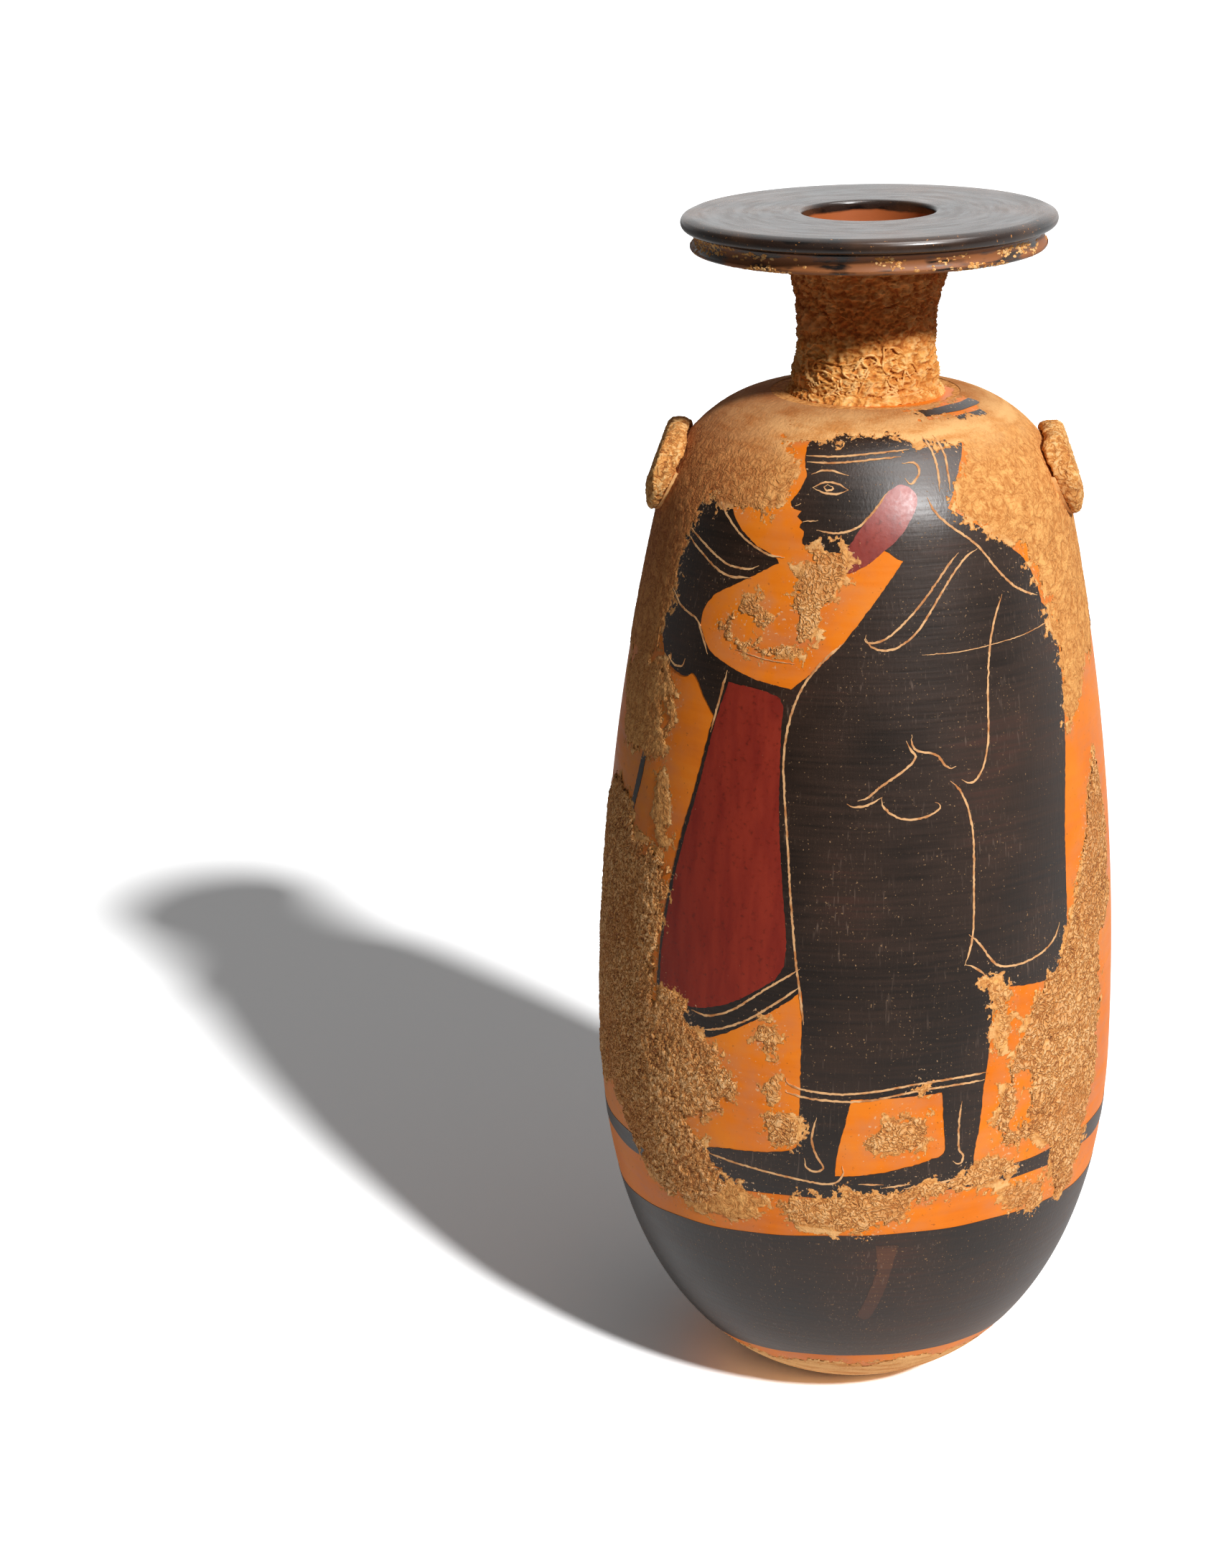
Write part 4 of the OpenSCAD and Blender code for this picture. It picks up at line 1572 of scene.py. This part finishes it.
    # Lines: each stands alone.
    CUTS = [
        [(-7.1, 133.4), (-3, 133.6), (1.5, 134.2), (5.5, 134.6)],
        [(-7, 132.5), (-3, 132.7), (1.5, 133.3), (4.5, 133.6)],
        [(7, 136.8), (8.4, 134.2), (9.2, 131.2), (9.4, 128.6)],
        [(8.6, 136.6), (10, 133.8), (10.6, 130.6), (10.8, 128.6)],
        [(-6.2, 129.2), (-4.6, 130), (-3, 129.8), (-1.8, 129.1)],
        [(-6.2, 129.2), (-4.6, 128.6), (-3, 128.6), (-1.8, 129.1)],
        [(-4.3, 129.7), (-3.6, 129.3), (-4.3, 128.9), (-4.8, 129.3), (-4.3, 129.7)],
        [(-6.4, 130.9), (-4.4, 131.6), (-1.8, 131)],
        [(4.6, 132.6), (6.2, 132.6), (6.8, 131.2), (5.8, 129.8), (5, 130.6)],
        [(-7.3, 124.9), (-5.4, 125.2)],
        [(-8.3, 126.7), (-7.6, 127.1)],
        [(3, 129), (1.5, 126.8), (-0.5, 124.6), (-3, 123.8), (-5.6, 124)],
        [(7.8, 128), (8.8, 126.2), (10.8, 124.3), (13.2, 122.7), (15, 121.2), (16.6, 119.4), (18.3, 117.6),
         (20.2, 116), (22.4, 114.8), (24.6, 114)],
        [(0.7, 111.6), (0.5, 110.9), (1.4, 110.6), (3.2, 111.2), (5.3, 113), (7.3, 115.2), (9, 117.4),
         (10.8, 119.8), (12, 121)],
        [(0.6, 111.2), (1.4, 110.1), (3.2, 109.7), (5, 110.3), (7, 112), (9, 115), (10.8, 117.8),
         (12.8, 120.2), (14.6, 121.2)],
        [(-2, 110.6), (-4.5, 108.2), (-7, 104.8), (-8.5, 100.8), (-9.2, 96.5), (-9.1, 92), (-8.7, 87),
         (-8.2, 80), (-7.5, 72), (-6.8, 66.5), (-6.2, 62)],
        [(18.4, 115.2), (17.3, 112.4), (16.6, 109), (16.4, 104), (16.6, 98), (16, 94.6), (15, 93),
         (14, 92.7), (13, 93.2)],
        [(5.8, 98.6), (6.3, 97.5), (7, 96.7), (6.6, 95.8), (5, 94.5), (2.7, 92.9), (1.2, 91.6), (0, 91.2)],
        [(6.4, 99.3), (6.6, 97.9), (7.4, 97.2), (9.4, 96.7), (10.2, 96), (10.8, 95.2), (11.5, 94.8),
         (12.2, 95)],
        [(-1.3, 90.8), (-0.4, 90.4), (1.3, 90.7), (3, 91.7)],
        [(2.9, 91.6), (3.1, 90.6), (4.2, 89.5), (6, 88.8), (8, 88.9), (9.7, 89.5), (10.3, 90.2),
         (9.6, 90.8)],
        [(11.5, 93.2), (12.5, 92.3), (13.4, 90.8), (14.2, 88.8), (14.8, 85.5), (15, 80), (15.1, 75),
         (14.8, 71.8), (14, 69.4)],
        [(14.5, 73.4), (16, 72), (17.6, 69.8), (18.8, 68.7), (20.5, 68.2), (23.3, 68.2), (26.2, 68.8),
         (28.3, 70), (29.3, 71.8)],
        [(14.1, 69.5), (15, 69.2), (16.4, 68.2), (17.2, 67.3)],
        [(-8.4, 54.6), (-8, 53.8), (-5.7, 53.2), (-1.7, 53), (2.8, 53.4), (6.4, 54), (10.6, 54.4),
         (17.7, 54.6)],
        [(-8.4, 52.7), (-5.8, 52.2), (-1.7, 52), (2, 52.2), (6.4, 53), (10.5, 53.5), (17.3, 53.6)],
        [(-22, 61), (-19.3, 60.9), (-15.6, 62.6), (-11.3, 66), (-6.8, 69.3)],
        [(-20.3, 58.7), (-17, 59.8), (-13.6, 61.6), (-10, 64.3), (-6.7, 67)],
        [(-17.2, 105.6), (-18.4, 101.5), (-19.6, 97.5)],
        [(-4.4, 49.6), (-4.9, 47.4), (-4.9, 46), (-4.3, 44.2), (-3.4, 42.6), (-4.6, 42), (-5.6, 42.5),
         (-5.9, 43.8)],
        [(14.2, 51.2), (13.9, 48.8), (13.9, 46.4), (14, 44.5), (14.6, 43.6), (14.4, 42.6), (13.7, 42.5),
         (13.2, 43)],
        [(-19.5, 41.8), (-15, 41.4), (-10, 41), (-5.5, 40.5), (-3, 40.3), (-1.6, 40.8), (-0.9, 42),
         (-1.1, 43)],
        [(1, 40.5), (4.2, 40.4)],
        [(4, 39.9), (7.6, 40.3)],
        [(6.8, 39.7), (9.8, 39.9)],
        [(10.4, 39.9), (14, 40.4)],
    ]
    SCRATCHES = [
        [(7.5, 109), (12.5, 109), (18, 109.4), (22, 109.7), (27, 110.4)],
        [(-16, 108.4), (-12, 107.8), (-8, 107.6)],
    ]
    HORN_CUTS = [
        [(-20, 127.2), (-18.4, 124.8), (-15.4, 122.2), (-12, 120.6), (-9.6, 120.4)],
        [(-24.6, 121.6), (-22, 120.4), (-18, 118.6), (-14.6, 118.4), (-13, 119)],
        [(-24.9, 120.6), (-22.4, 119.2), (-18, 117.2), (-14, 117.4)],
        [(-27.9, 113.6), (-25.6, 111.8), (-22.6, 110.9), (-21.6, 109.4), (-20.4, 107)],
        [(-28, 105.2), (-26.6, 104.4), (-25, 104.6), (-24.4, 105.6)],
    ]
    STAFF_CUTS = [
        [(-27.9, 113), (-25.6, 111.8), (-22.6, 110.9), (-21.6, 109.4)],
        [(-28.8, 108.4), (-25.4, 108.8), (-22.6, 108.2)],
        [(-28, 105.2), (-26.6, 104.4), (-25, 104.6), (-24.4, 105.6)],
    ]

    def build(self, slip: Material, red: Material, polished: Material, cut: Material) -> None:
        """Paint the figure and cut its lines.

        Args:
            slip: Black slip's material.
            red: Added red's material.
            polished: The beard's red, which is burnished.
            cut: Incised line's material.
        """
        layer = PaintLayer(self.chart.wall, self.turn, self.mirror)
        horn = self.held is Held.HORN
        shapes = (
            self.MANTLE, self.HEAD, self.BEARD, self.SKIRT, self.FOREARM, self.HORN if horn else self.STAFF,
            self.FIST, self.NEAR_FOOT, self.FAR_FOOT,
        )
        black, added, beard, lines = (MeshBuilder() for _ in range(4))
        for number, strokes in enumerate(shapes):
            layer.fill(black, strokes, self.slip_lift + self.coat_step * number)
        layer.fill(added, self.RED_PANEL, self.red_lift)
        layer.fill(beard, self.BEARD, self.red_lift)
        for knots in self.CUTS + (self.HORN_CUTS if horn else self.STAFF_CUTS):
            layer.cut(lines, knots, self.cut_lift, layer.cut_w)
        for knots in self.SCRATCHES:
            layer.cut(lines, knots, self.cut_lift, self.scratch_w)
        for builder, finish, slot, kind in (
            (black, slip, Slot.BLACK, "_slip"), (added, red, Slot.PAINTED, "_red"),
            (beard, polished, Slot.PAINTED, "_beard"), (lines, cut, Slot.PAINTED, "_incisions"),
        ):
            piece = builder.build(self.name + kind, finish)
            self.chart.dust(piece)
            finish_piece(piece, slot)


@dataclass
class Neck:
    """Thrown neck under its crust, rootlet casts on its foot, and the bead of luting clay round it."""

    seat_z: float
    top_z: float
    relief: CrustRelief
    foot_r: float = 9.1
    foot_h: float = 1.6
    waist_r: float = 8.6
    waist_z: float = 5.7
    top_r: float = 10.7
    flare: Point = (1.8, 3.3)
    wall: float = 2.2
    hole_r: float = 6.8
    mouth_r: float = 8.3
    skin: float = 0.6
    top_gap: float = 0.05
    bead_w: float = 0.9
    bead_h: float = 1.0
    bead_in: float = 0.6
    segments: int = 260
    bead_segments: int = 300
    casts: int = 24
    cast_r: float = 0.15
    cast_lift: float = 0.12
    cast_step: float = 0.4
    cast_steps: tuple[int, int] = (9, 22)
    cast_turn: Point = (-1.3, 0.9)
    cast_start: Point = (1.2, 5.6)
    cast_reach: Point = (0.9, 7.0)
    cast_curl: float = 0.28
    cast_sway: float = 0.7

    def _section(self) -> tuple[np.ndarray, np.ndarray]:
        """Outer and inner half outlines of the neck, both from its foot up.

        Returns:
            Radius and height of each point, of the outer and of the inner outline.
        """
        up = np.array([0.0, 1.0])
        foot = np.array([self.foot_r, self.seat_z])
        shin = foot + self.foot_h * up
        waist = np.array([self.waist_r, self.seat_z + self.waist_z])
        top = np.array([self.top_r, self.top_z])
        low = (self.waist_z - self.foot_h) / 2 * up
        high = (self.top_z - self.seat_z - self.waist_z) / 2 * up
        inner_foot = np.array([self.hole_r, self.seat_z])
        inner_waist = waist - [self.wall, 0.0]
        inner_top = np.array([self.mouth_r, self.top_z])
        outer = np.vstack([
            np.linspace(foot, shin, 12)[:-1], shin,
            cubic(shin, shin + low, waist - low, waist, 40),
            cubic(waist, waist + high, top - self.flare, top, 66),
        ])
        inner = np.vstack([
            inner_foot,
            cubic(inner_foot, inner_foot + low, inner_waist - low, inner_waist, 10),
            cubic(inner_waist, inner_waist + high, inner_top - high, inner_top, 12),
        ])
        return outer, inner

    def _rootlets(self, outer: np.ndarray, crust: Material) -> None:
        """Lay the rootlet casts on the front of the foot.

        Args:
            outer: Outer half outline.
            crust: Crust's material.
        """
        rng = np.random.default_rng(7)
        lowest, highest = (self.seat_z + rise for rise in self.cast_reach)
        points, edges = [], []
        for _ in range(self.casts):
            angle, z = rng.uniform(*self.cast_turn), self.seat_z + rng.uniform(*self.cast_start)
            heading, bend = rng.uniform(0.0, 2 * math.pi), 0.0
            for step in range(rng.integers(*self.cast_steps)):
                radius = np.interp(z, outer[:, 1], outer[:, 0]) + self.cast_lift
                points.append((radius * math.sin(angle), -radius * math.cos(angle), z))
                if step:
                    edges.append((len(points) - 2, len(points) - 1))
                bend = self.cast_sway * bend + rng.normal(0.0, self.cast_curl)
                heading += bend
                angle += self.cast_step * math.cos(heading) / radius
                z = np.clip(z + self.cast_step * math.sin(heading), lowest, highest)
        mesh = bpy.data.meshes.new("neck_rootlet_casts")
        mesh.from_pydata((np.array(points) * MM).tolist(), edges, [])
        thing = stand(mesh.name, mesh)
        RootletCasts().apply(thing, crust, Radius=self.cast_r * MM)
        mark_crumbs(thing, 0.75)
        finish_piece(thing, Slot.CRUSTED)

    def _bead(self, crust: Material) -> None:
        """Lay the bead in the corner between neck and shoulder.

        Args:
            crust: Crust's material.
        """
        corner = np.array([self.foot_r, self.seat_z])
        toe, head = corner + [self.bead_w, 0.0], corner + [0.0, self.bead_h]
        heel = corner - [self.bead_in, 0.0]
        bulge = [corner + [self.bead_w * w, self.bead_h * h] for w, h in ((0.75, 0.5), (0.5, 0.75))]
        under, behind = np.linspace(heel, toe, 6)[:-1], np.linspace(head, heel, 5)[1:-1]
        section = np.vstack([under, toe, cubic(toe, *bulge, head, 14), behind])
        bead = MeshBuilder().add(*lathe(section, self.bead_segments)).build("neck_luting_bead", crust)
        self.relief.apply(bead, crust, Even_cover=FAR * MM, Even_depth=0.3 * MM, Bias=0.4, Sink=0.0,
                          Trim=-1.0, Wrinkle=1.4 * MM, Seed=9.0)
        finish_piece(bead, Slot.CRUSTED, "neck_bead")

    def build(self, crust: Material) -> None:
        """Make the neck, its casts and its bead.

        Args:
            crust: Crust's material.
        """
        outer, inner = self._section()
        points, faces = lathe(np.vstack([outer, inner[::-1]]), self.segments)
        neck = MeshBuilder().add(points, faces).build("neck_crusted", crust)
        skin = np.interp(points[:, 2], outer[:, 1], outer[:, 0]) - self.skin
        hidden = (np.hypot(points[:, 0], points[:, 1]) < skin) | (points[:, 2] > self.top_z - self.top_gap)
        mark(neck, "cover", np.where(hidden, -FAR, FAR))
        self.relief.apply(neck, crust, Even_depth=0.44 * MM, Bias=0.42, Sink=0.0, Trim=-1.0, Wrinkle=3.0 * MM,
                          Flatten=1.5, Seed=5.0)
        finish_piece(neck, Slot.CRUSTED, "neck")
        self._rootlets(outer, crust)
        self._bead(crust)


@dataclass
class MouthDisc:
    """Turned mouth disc with its rounded upper and hollow lower mouldings."""

    under_z: float
    top_z: float
    outer_r: float
    neck_r: float = 10.7
    tilt: float = 0.9
    edge_t: float = 4.4
    roll_r: float = 0.9
    bevel: float = 1.0
    step_in: float = 1.2
    cavetto_r: float = 1.3
    cavetto_d: float = 0.45
    bore_r: float = 8.3
    lip_r: float = 0.5
    edge_r: float = 0.45
    edge_up: float = 0.4
    step_r: float = 0.3
    step_down: float = 0.25
    fleck_drop: float = 2.2
    fleck_in: float = 3.0
    flecks_mm2: float = 1.5
    segments: int = 300

    def _arc(self, centre: Point, r: float, start: float, end: float, steps: int) -> np.ndarray:
        """Points of an arc in the half section.

        Args:
            centre: Radius and height of its centre.
            r: Arc's radius.
            start: First angle in degrees.
            end: Last angle in degrees.
            steps: Number of steps.

        Returns:
            Radius and height of each point.
        """
        angle = np.radians(np.linspace(start, end, steps + 1))
        return np.array(centre) + r * np.column_stack([np.cos(angle), np.sin(angle)])

    def section(self) -> np.ndarray:
        """Closed half section of the disc, anticlockwise.

        Returns:
            Radius and height of each point.
        """
        edge_z = self.top_z - self.edge_t
        lower_r = self.outer_r - self.step_in
        roll_z = self.top_z - self.bevel
        groove_z = roll_z - self.roll_r * 0.9
        hollow = (lower_r + self.cavetto_r - self.cavetto_d, (edge_z + groove_z) / 2)
        lip_r, lip_z = self.bore_r + self.lip_r, self.top_z - self.lip_r
        return np.vstack([
            np.linspace([self.bore_r, self.under_z], [self.neck_r, self.under_z], 4)[:-1],
            np.linspace([self.neck_r, self.under_z], [lower_r - 0.5, edge_z - 0.05], 16)[:-1],
            self._arc((lower_r - self.edge_r, edge_z + self.edge_up), self.edge_r, -90.0, 10.0, 6),
            self._arc(hollow, self.cavetto_r, 229.0, 131.0, 8),
            self._arc((lower_r - self.step_r, groove_z - self.step_down), self.step_r, 0.0, 80.0, 4),
            self._arc((self.outer_r - self.roll_r, roll_z), self.roll_r, -62.0, 48.0, 14),
            np.linspace([self.outer_r - self.bevel, self.top_z], [lip_r, self.top_z], 26)[:-1],
            self._arc((lip_r, lip_z), self.lip_r, 90.0, 180.0, 6),
            np.linspace([self.bore_r, lip_z], [self.bore_r, self.under_z], 12)[1:-1],
        ])

    def build(self, crust: Material) -> None:
        """Make the disc and the flecks of crust on its edge.

        Args:
            crust: Crust's material.
        """
        lean = math.tan(math.radians(self.tilt))
        upper_z = self.top_z - self.bevel - self.roll_r
        slip = MouthSlip(self.top_z, upper_z, self.bore_r, self.outer_r, lean).build()
        points, faces = lathe(self.section(), self.segments)
        points[:, 2] += points[:, 0] * lean
        builder = MeshBuilder().add(points, faces)
        finish_piece(builder.build("mouth_disc_slipped", slip), Slot.BLACK, "mouth_disc")
        flecks = builder.build("rim_crust_flecks", crust)
        below, outside = (self.top_z - self.fleck_drop) * MM, (self.outer_r - self.fleck_in) * MM
        density = self.flecks_mm2 / MM ** 2
        RimFlecks().apply(flecks, crust, Below=below, Outside=outside, Density=density, Seed=3)
        mark_crumbs(flecks, 0.7)
        finish_piece(flecks, Slot.CRUSTED)


@dataclass
class Lug:
    """Lug shaped by hand, under its crust, softened from the frame's solid."""

    node: str
    relief: CrustRelief
    seed: float
    voxel_mm: float = 0.26
    smoothing: int = 14

    def build(self, crust: Material) -> None:
        """Make the lug.

        Args:
            crust: Crust's material.
        """
        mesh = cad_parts[self.node].data.copy()
        mesh.materials.clear()
        work = bmesh.new()
        work.from_mesh(mesh)
        bmesh.ops.remove_doubles(work, verts=work.verts, dist=1e-6)
        work.to_mesh(mesh)
        work.free()
        lug = stand(self.node + "_crusted", mesh)
        remesh = lug.modifiers.new("remesh", "REMESH")
        remesh.mode = "VOXEL"
        remesh.voxel_size = self.voxel_mm * MM
        soften = lug.modifiers.new("soften", "SMOOTH")
        soften.factor = 0.5
        soften.iterations = self.smoothing
        self.relief.apply(lug, crust, Even_cover=FAR * MM, Even_depth=0.22 * MM, Bias=0.35, Sink=0.0,
                          Trim=-1.0, Wrinkle=2.6 * MM, Seed=self.seed)
        finish_piece(lug, Slot.CRUSTED, self.node)


@dataclass
class Studio:
    """Camera, lamp, world and floor of the photograph."""

    eye: Triple = (0.0, -388.0, 217.0)
    yaw: float = 4.95
    pitch: float = 19.17
    roll: float = -0.55
    focal_px: float = 4298.0
    sensor_mm: float = 36.0
    sun_from: Triple = (0.776, -1.006, 1.0)
    sun_angle: float = 5.0
    sun_power: float = 3.8
    fill_level: float = 0.155
    fill_lean: float = 0.65
    room_dim: float = 0.25
    room_bright: float = 1.12
    box_from: Triple = (0.35, -0.18, 0.92)
    box_power: float = 8.0
    floor_white: float = 1.62
    # Painted light: the floor's colour for bounced light fades from near to far, standing in for light that
    # falls off away from the flask.
    painted_falloff_mm: Point = (70.0, 300.0)
    painted_falloff_near: float = 0.8
    painted_falloff_far: float = 0.12
    # Painted shade in reflections: the floor as reflected is darker towards the viewer and to the left.
    reflection_shade_front_mm: Point = (-300.0, -60.0)
    reflection_shade_left_mm: Point = (-240.0, -50.0)
    floor_half: float = 3.0

    def camera(self) -> None:
        """Set the camera at the photograph's place and angle."""
        data = bpy.data.cameras.new("camera")
        data.sensor_width = self.sensor_mm
        data.lens = self.focal_px / PHOTO_H * self.sensor_mm
        data.clip_start = 0.01
        yaw, pitch, roll = (math.radians(a) for a in (self.yaw, self.pitch, self.roll))
        ahead = Vector((-math.sin(yaw) * math.cos(pitch), math.cos(yaw) * math.cos(pitch), -math.sin(pitch)))
        right = Vector((math.cos(yaw), math.sin(yaw), 0.0))
        up = right.cross(ahead)
        right, up = math.cos(roll) * right + math.sin(roll) * up, math.cos(roll) * up - math.sin(roll) * right
        matrix = Matrix((right, up, -ahead)).transposed().to_4x4()
        matrix.translation = Vector(self.eye) * MM
        camera = stand("camera", data)
        camera.matrix_world = matrix
        bpy.context.scene.camera = camera

    def lights(self) -> None:
        """Hang the key lamp and set the world.

        The world is white to the eye. In reflections it is a dim room with a soft box overhead.
        """
        data = bpy.data.lights.new("key", "SUN")
        data.energy = self.sun_power
        data.angle = math.radians(self.sun_angle)
        stand("key", data).rotation_euler = Vector(self.sun_from).to_track_quat("Z", "Y").to_euler()
        world = bpy.data.worlds.new("studio")
        world.use_nodes = True
        tree = world.node_tree
        add = partial(add_node, tree)
        path = add(Kind.RAY).outputs
        way = add(Kind.COORDINATES).outputs["Generated"]
        across, ahead, _ = add(Kind.SPLIT, way).outputs
        dim, bright = (self.fill_level * (1.0 + lean) for lean in (-self.fill_lean, self.fill_lean))
        fill = add(Kind.RANGE, across, -1.0, 1.0, dim, bright)
        back = add(Kind.RANGE, ahead, -0.2, 0.55, self.room_dim, self.room_bright)
        side = add(Kind.RANGE, across, -0.8, -0.1, 0.15, 1.0)
        box = add(Kind.EASE, add(Kind.DOT, way, self.box_from), 0.9, 0.985, 0.0, self.box_power)
        room = add(Kind.ADD, add(Kind.MULTIPLY, back, side), box)
        mirrored = add(Kind.MIX, path["Is Glossy Ray"], fill, room)
        clear = add(Kind.MAXIMUM, path["Is Camera Ray"], path["Is Transmission Ray"])
        sky = tree.nodes["Background"].inputs
        plug(tree, sky["Strength"], add(Kind.MIX, clear, mirrored, 1.0))
        plug(tree, sky["Color"], "#FFFFFF")
        bpy.context.scene.world = world

    def floor(self) -> None:
        """Lay the white floor, which keeps the flask's shadow. Its bounced light is painted light that fades
        away from the flask, and in reflections painted shade dims it towards the viewer and the left.
        """
        material, add, place = start_material("white_paper_sweep")
        tree = material.node_tree
        tree.nodes.remove(tree.nodes["Principled BSDF"])
        path = add(Kind.RAY).outputs
        across, ahead, _ = add(Kind.SPLIT, place).outputs
        # Painted light: bounced light from the floor fades with distance from the flask.
        near, far = self.painted_falloff_mm
        away = add(Kind.LENGTH, place)
        painted_falloff = add(Kind.RANGE, away, near * MM, far * MM, self.painted_falloff_near, self.painted_falloff_far)
        # Painted shade in reflections: the floor as reflected darkens towards the viewer and to the left.
        near, far = self.reflection_shade_front_mm
        front = add(Kind.RANGE, ahead, near * MM, far * MM, self.room_dim * 0.8, 0.9)
        near, far = self.reflection_shade_left_mm
        left = add(Kind.RANGE, across, near * MM, far * MM, 0.25, 1.0)
        glossy = add(Kind.BLEND, path["Is Glossy Ray"], painted_falloff, add(Kind.MULTIPLY, front, left))
        clear = add(Kind.MAXIMUM, path["Is Camera Ray"], path["Is Transmission Ray"])
        colour = add(Kind.BLEND, clear, glossy, (self.floor_white,) * 3 + (1.0,))
        plug(tree, tree.nodes["Material Output"].inputs["Surface"], add(Kind.DIFFUSE, colour))
        half = self.floor_half / MM
        corners = np.array([[-half, -half, 0.0], [half, -half, 0.0], [half, half, 0.0], [-half, half, 0.0]])
        MeshBuilder().add(corners, [[0, 1, 2, 3]]).build("floor", material, smooth=False)

    def build(self) -> None:
        """Set up everything round the flask."""
        bpy.context.scene.view_settings.view_transform = "Standard"
        self.camera()
        self.lights()
        self.floor()


def dress_lutes(crust: Material) -> None:
    """Give the luting clay behind the lugs its finish.

    Args:
        crust: Crust's material.
    """
    for node in ("left_lug_lute", "right_lug_lute"):
        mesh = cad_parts[node].data
        mesh.materials.clear()
        mesh.materials.append(crust)
        LOG.info("%s: frame's own solid", node)


def main() -> None:
    """Build every piece in order."""
    logging.basicConfig(level=logging.INFO, format="%(name)s: %(message)s")
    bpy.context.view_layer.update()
    seat_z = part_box("body")[1].z / MM
    disc_low, disc_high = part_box("mouth_disc")
    profile = BodyProfile(height=seat_z)
    chart = CrustMap(Wall(profile))
    clay, slip, red, cut = (finish().build() for finish in (ReservedClay, BlackSlip, AddedRed, IncisedLine))
    polished = AddedRed("burnished_iron_red", specular=0.9, smooth=0.38, rough=0.5).build()
    thin = BlackSlip(name="thin_brown_slip", black="#3A2013", brown="#4A2A18", misfired="#5A331C").build()
    crust = BurialCrust().build()
    # The neck's crust is tinted darker above 140.8 mm as painted shade under the disc.
    neck_crust = BurialCrust(
        name="neck_burial_crust", furrow="#A65E26", hollow="#C87C34", crest="#E8A454", tip="#FCCC86",
        stain="#C4762E", brown="#D8AC90", brown_z=(140.8, 144.2), painted_shade_up=(190.0, 200.0), furrow_mm=2.2,
        bump_mm=0.12, flatten=1.4,
    ).build()
    lug_crust = BurialCrust(
        name="lug_burial_crust", furrow="#7A4420", hollow="#C47C3C", crest="#E4A056", tip="#F6C686",
        stain="#C88044", brown_z=(160.0, 170.0), painted_shade_up=(190.0, 200.0), furrow_mm=0.9, bump_mm=0.18,
    ).build()
    relief = CrustRelief()
    Studio().build()
    FlaskBody(profile, chart).build(clay)
    SlipBands(chart).build(slip, thin)
    PaintedFigure(chart, "front_figure", Held.HORN).build(slip, red, polished, cut)
    PaintedFigure(chart, "back_figure", Held.STAFF, turn=180.0, mirror=True).build(slip, red, polished, cut)
    WallCrust(chart, relief).build(crust)
    Neck(seat_z, disc_low.z / MM + NECK_OVERLAP, relief).build(neck_crust)
    MouthDisc(disc_low.z / MM, disc_high.z / MM, disc_high.x / MM).build(lug_crust)
    Lug("left_lug", relief, seed=13.0).build(lug_crust)
    Lug("right_lug", relief, seed=17.0).build(lug_crust)
    dress_lutes(lug_crust)


if __name__ == "__main__":
    main()
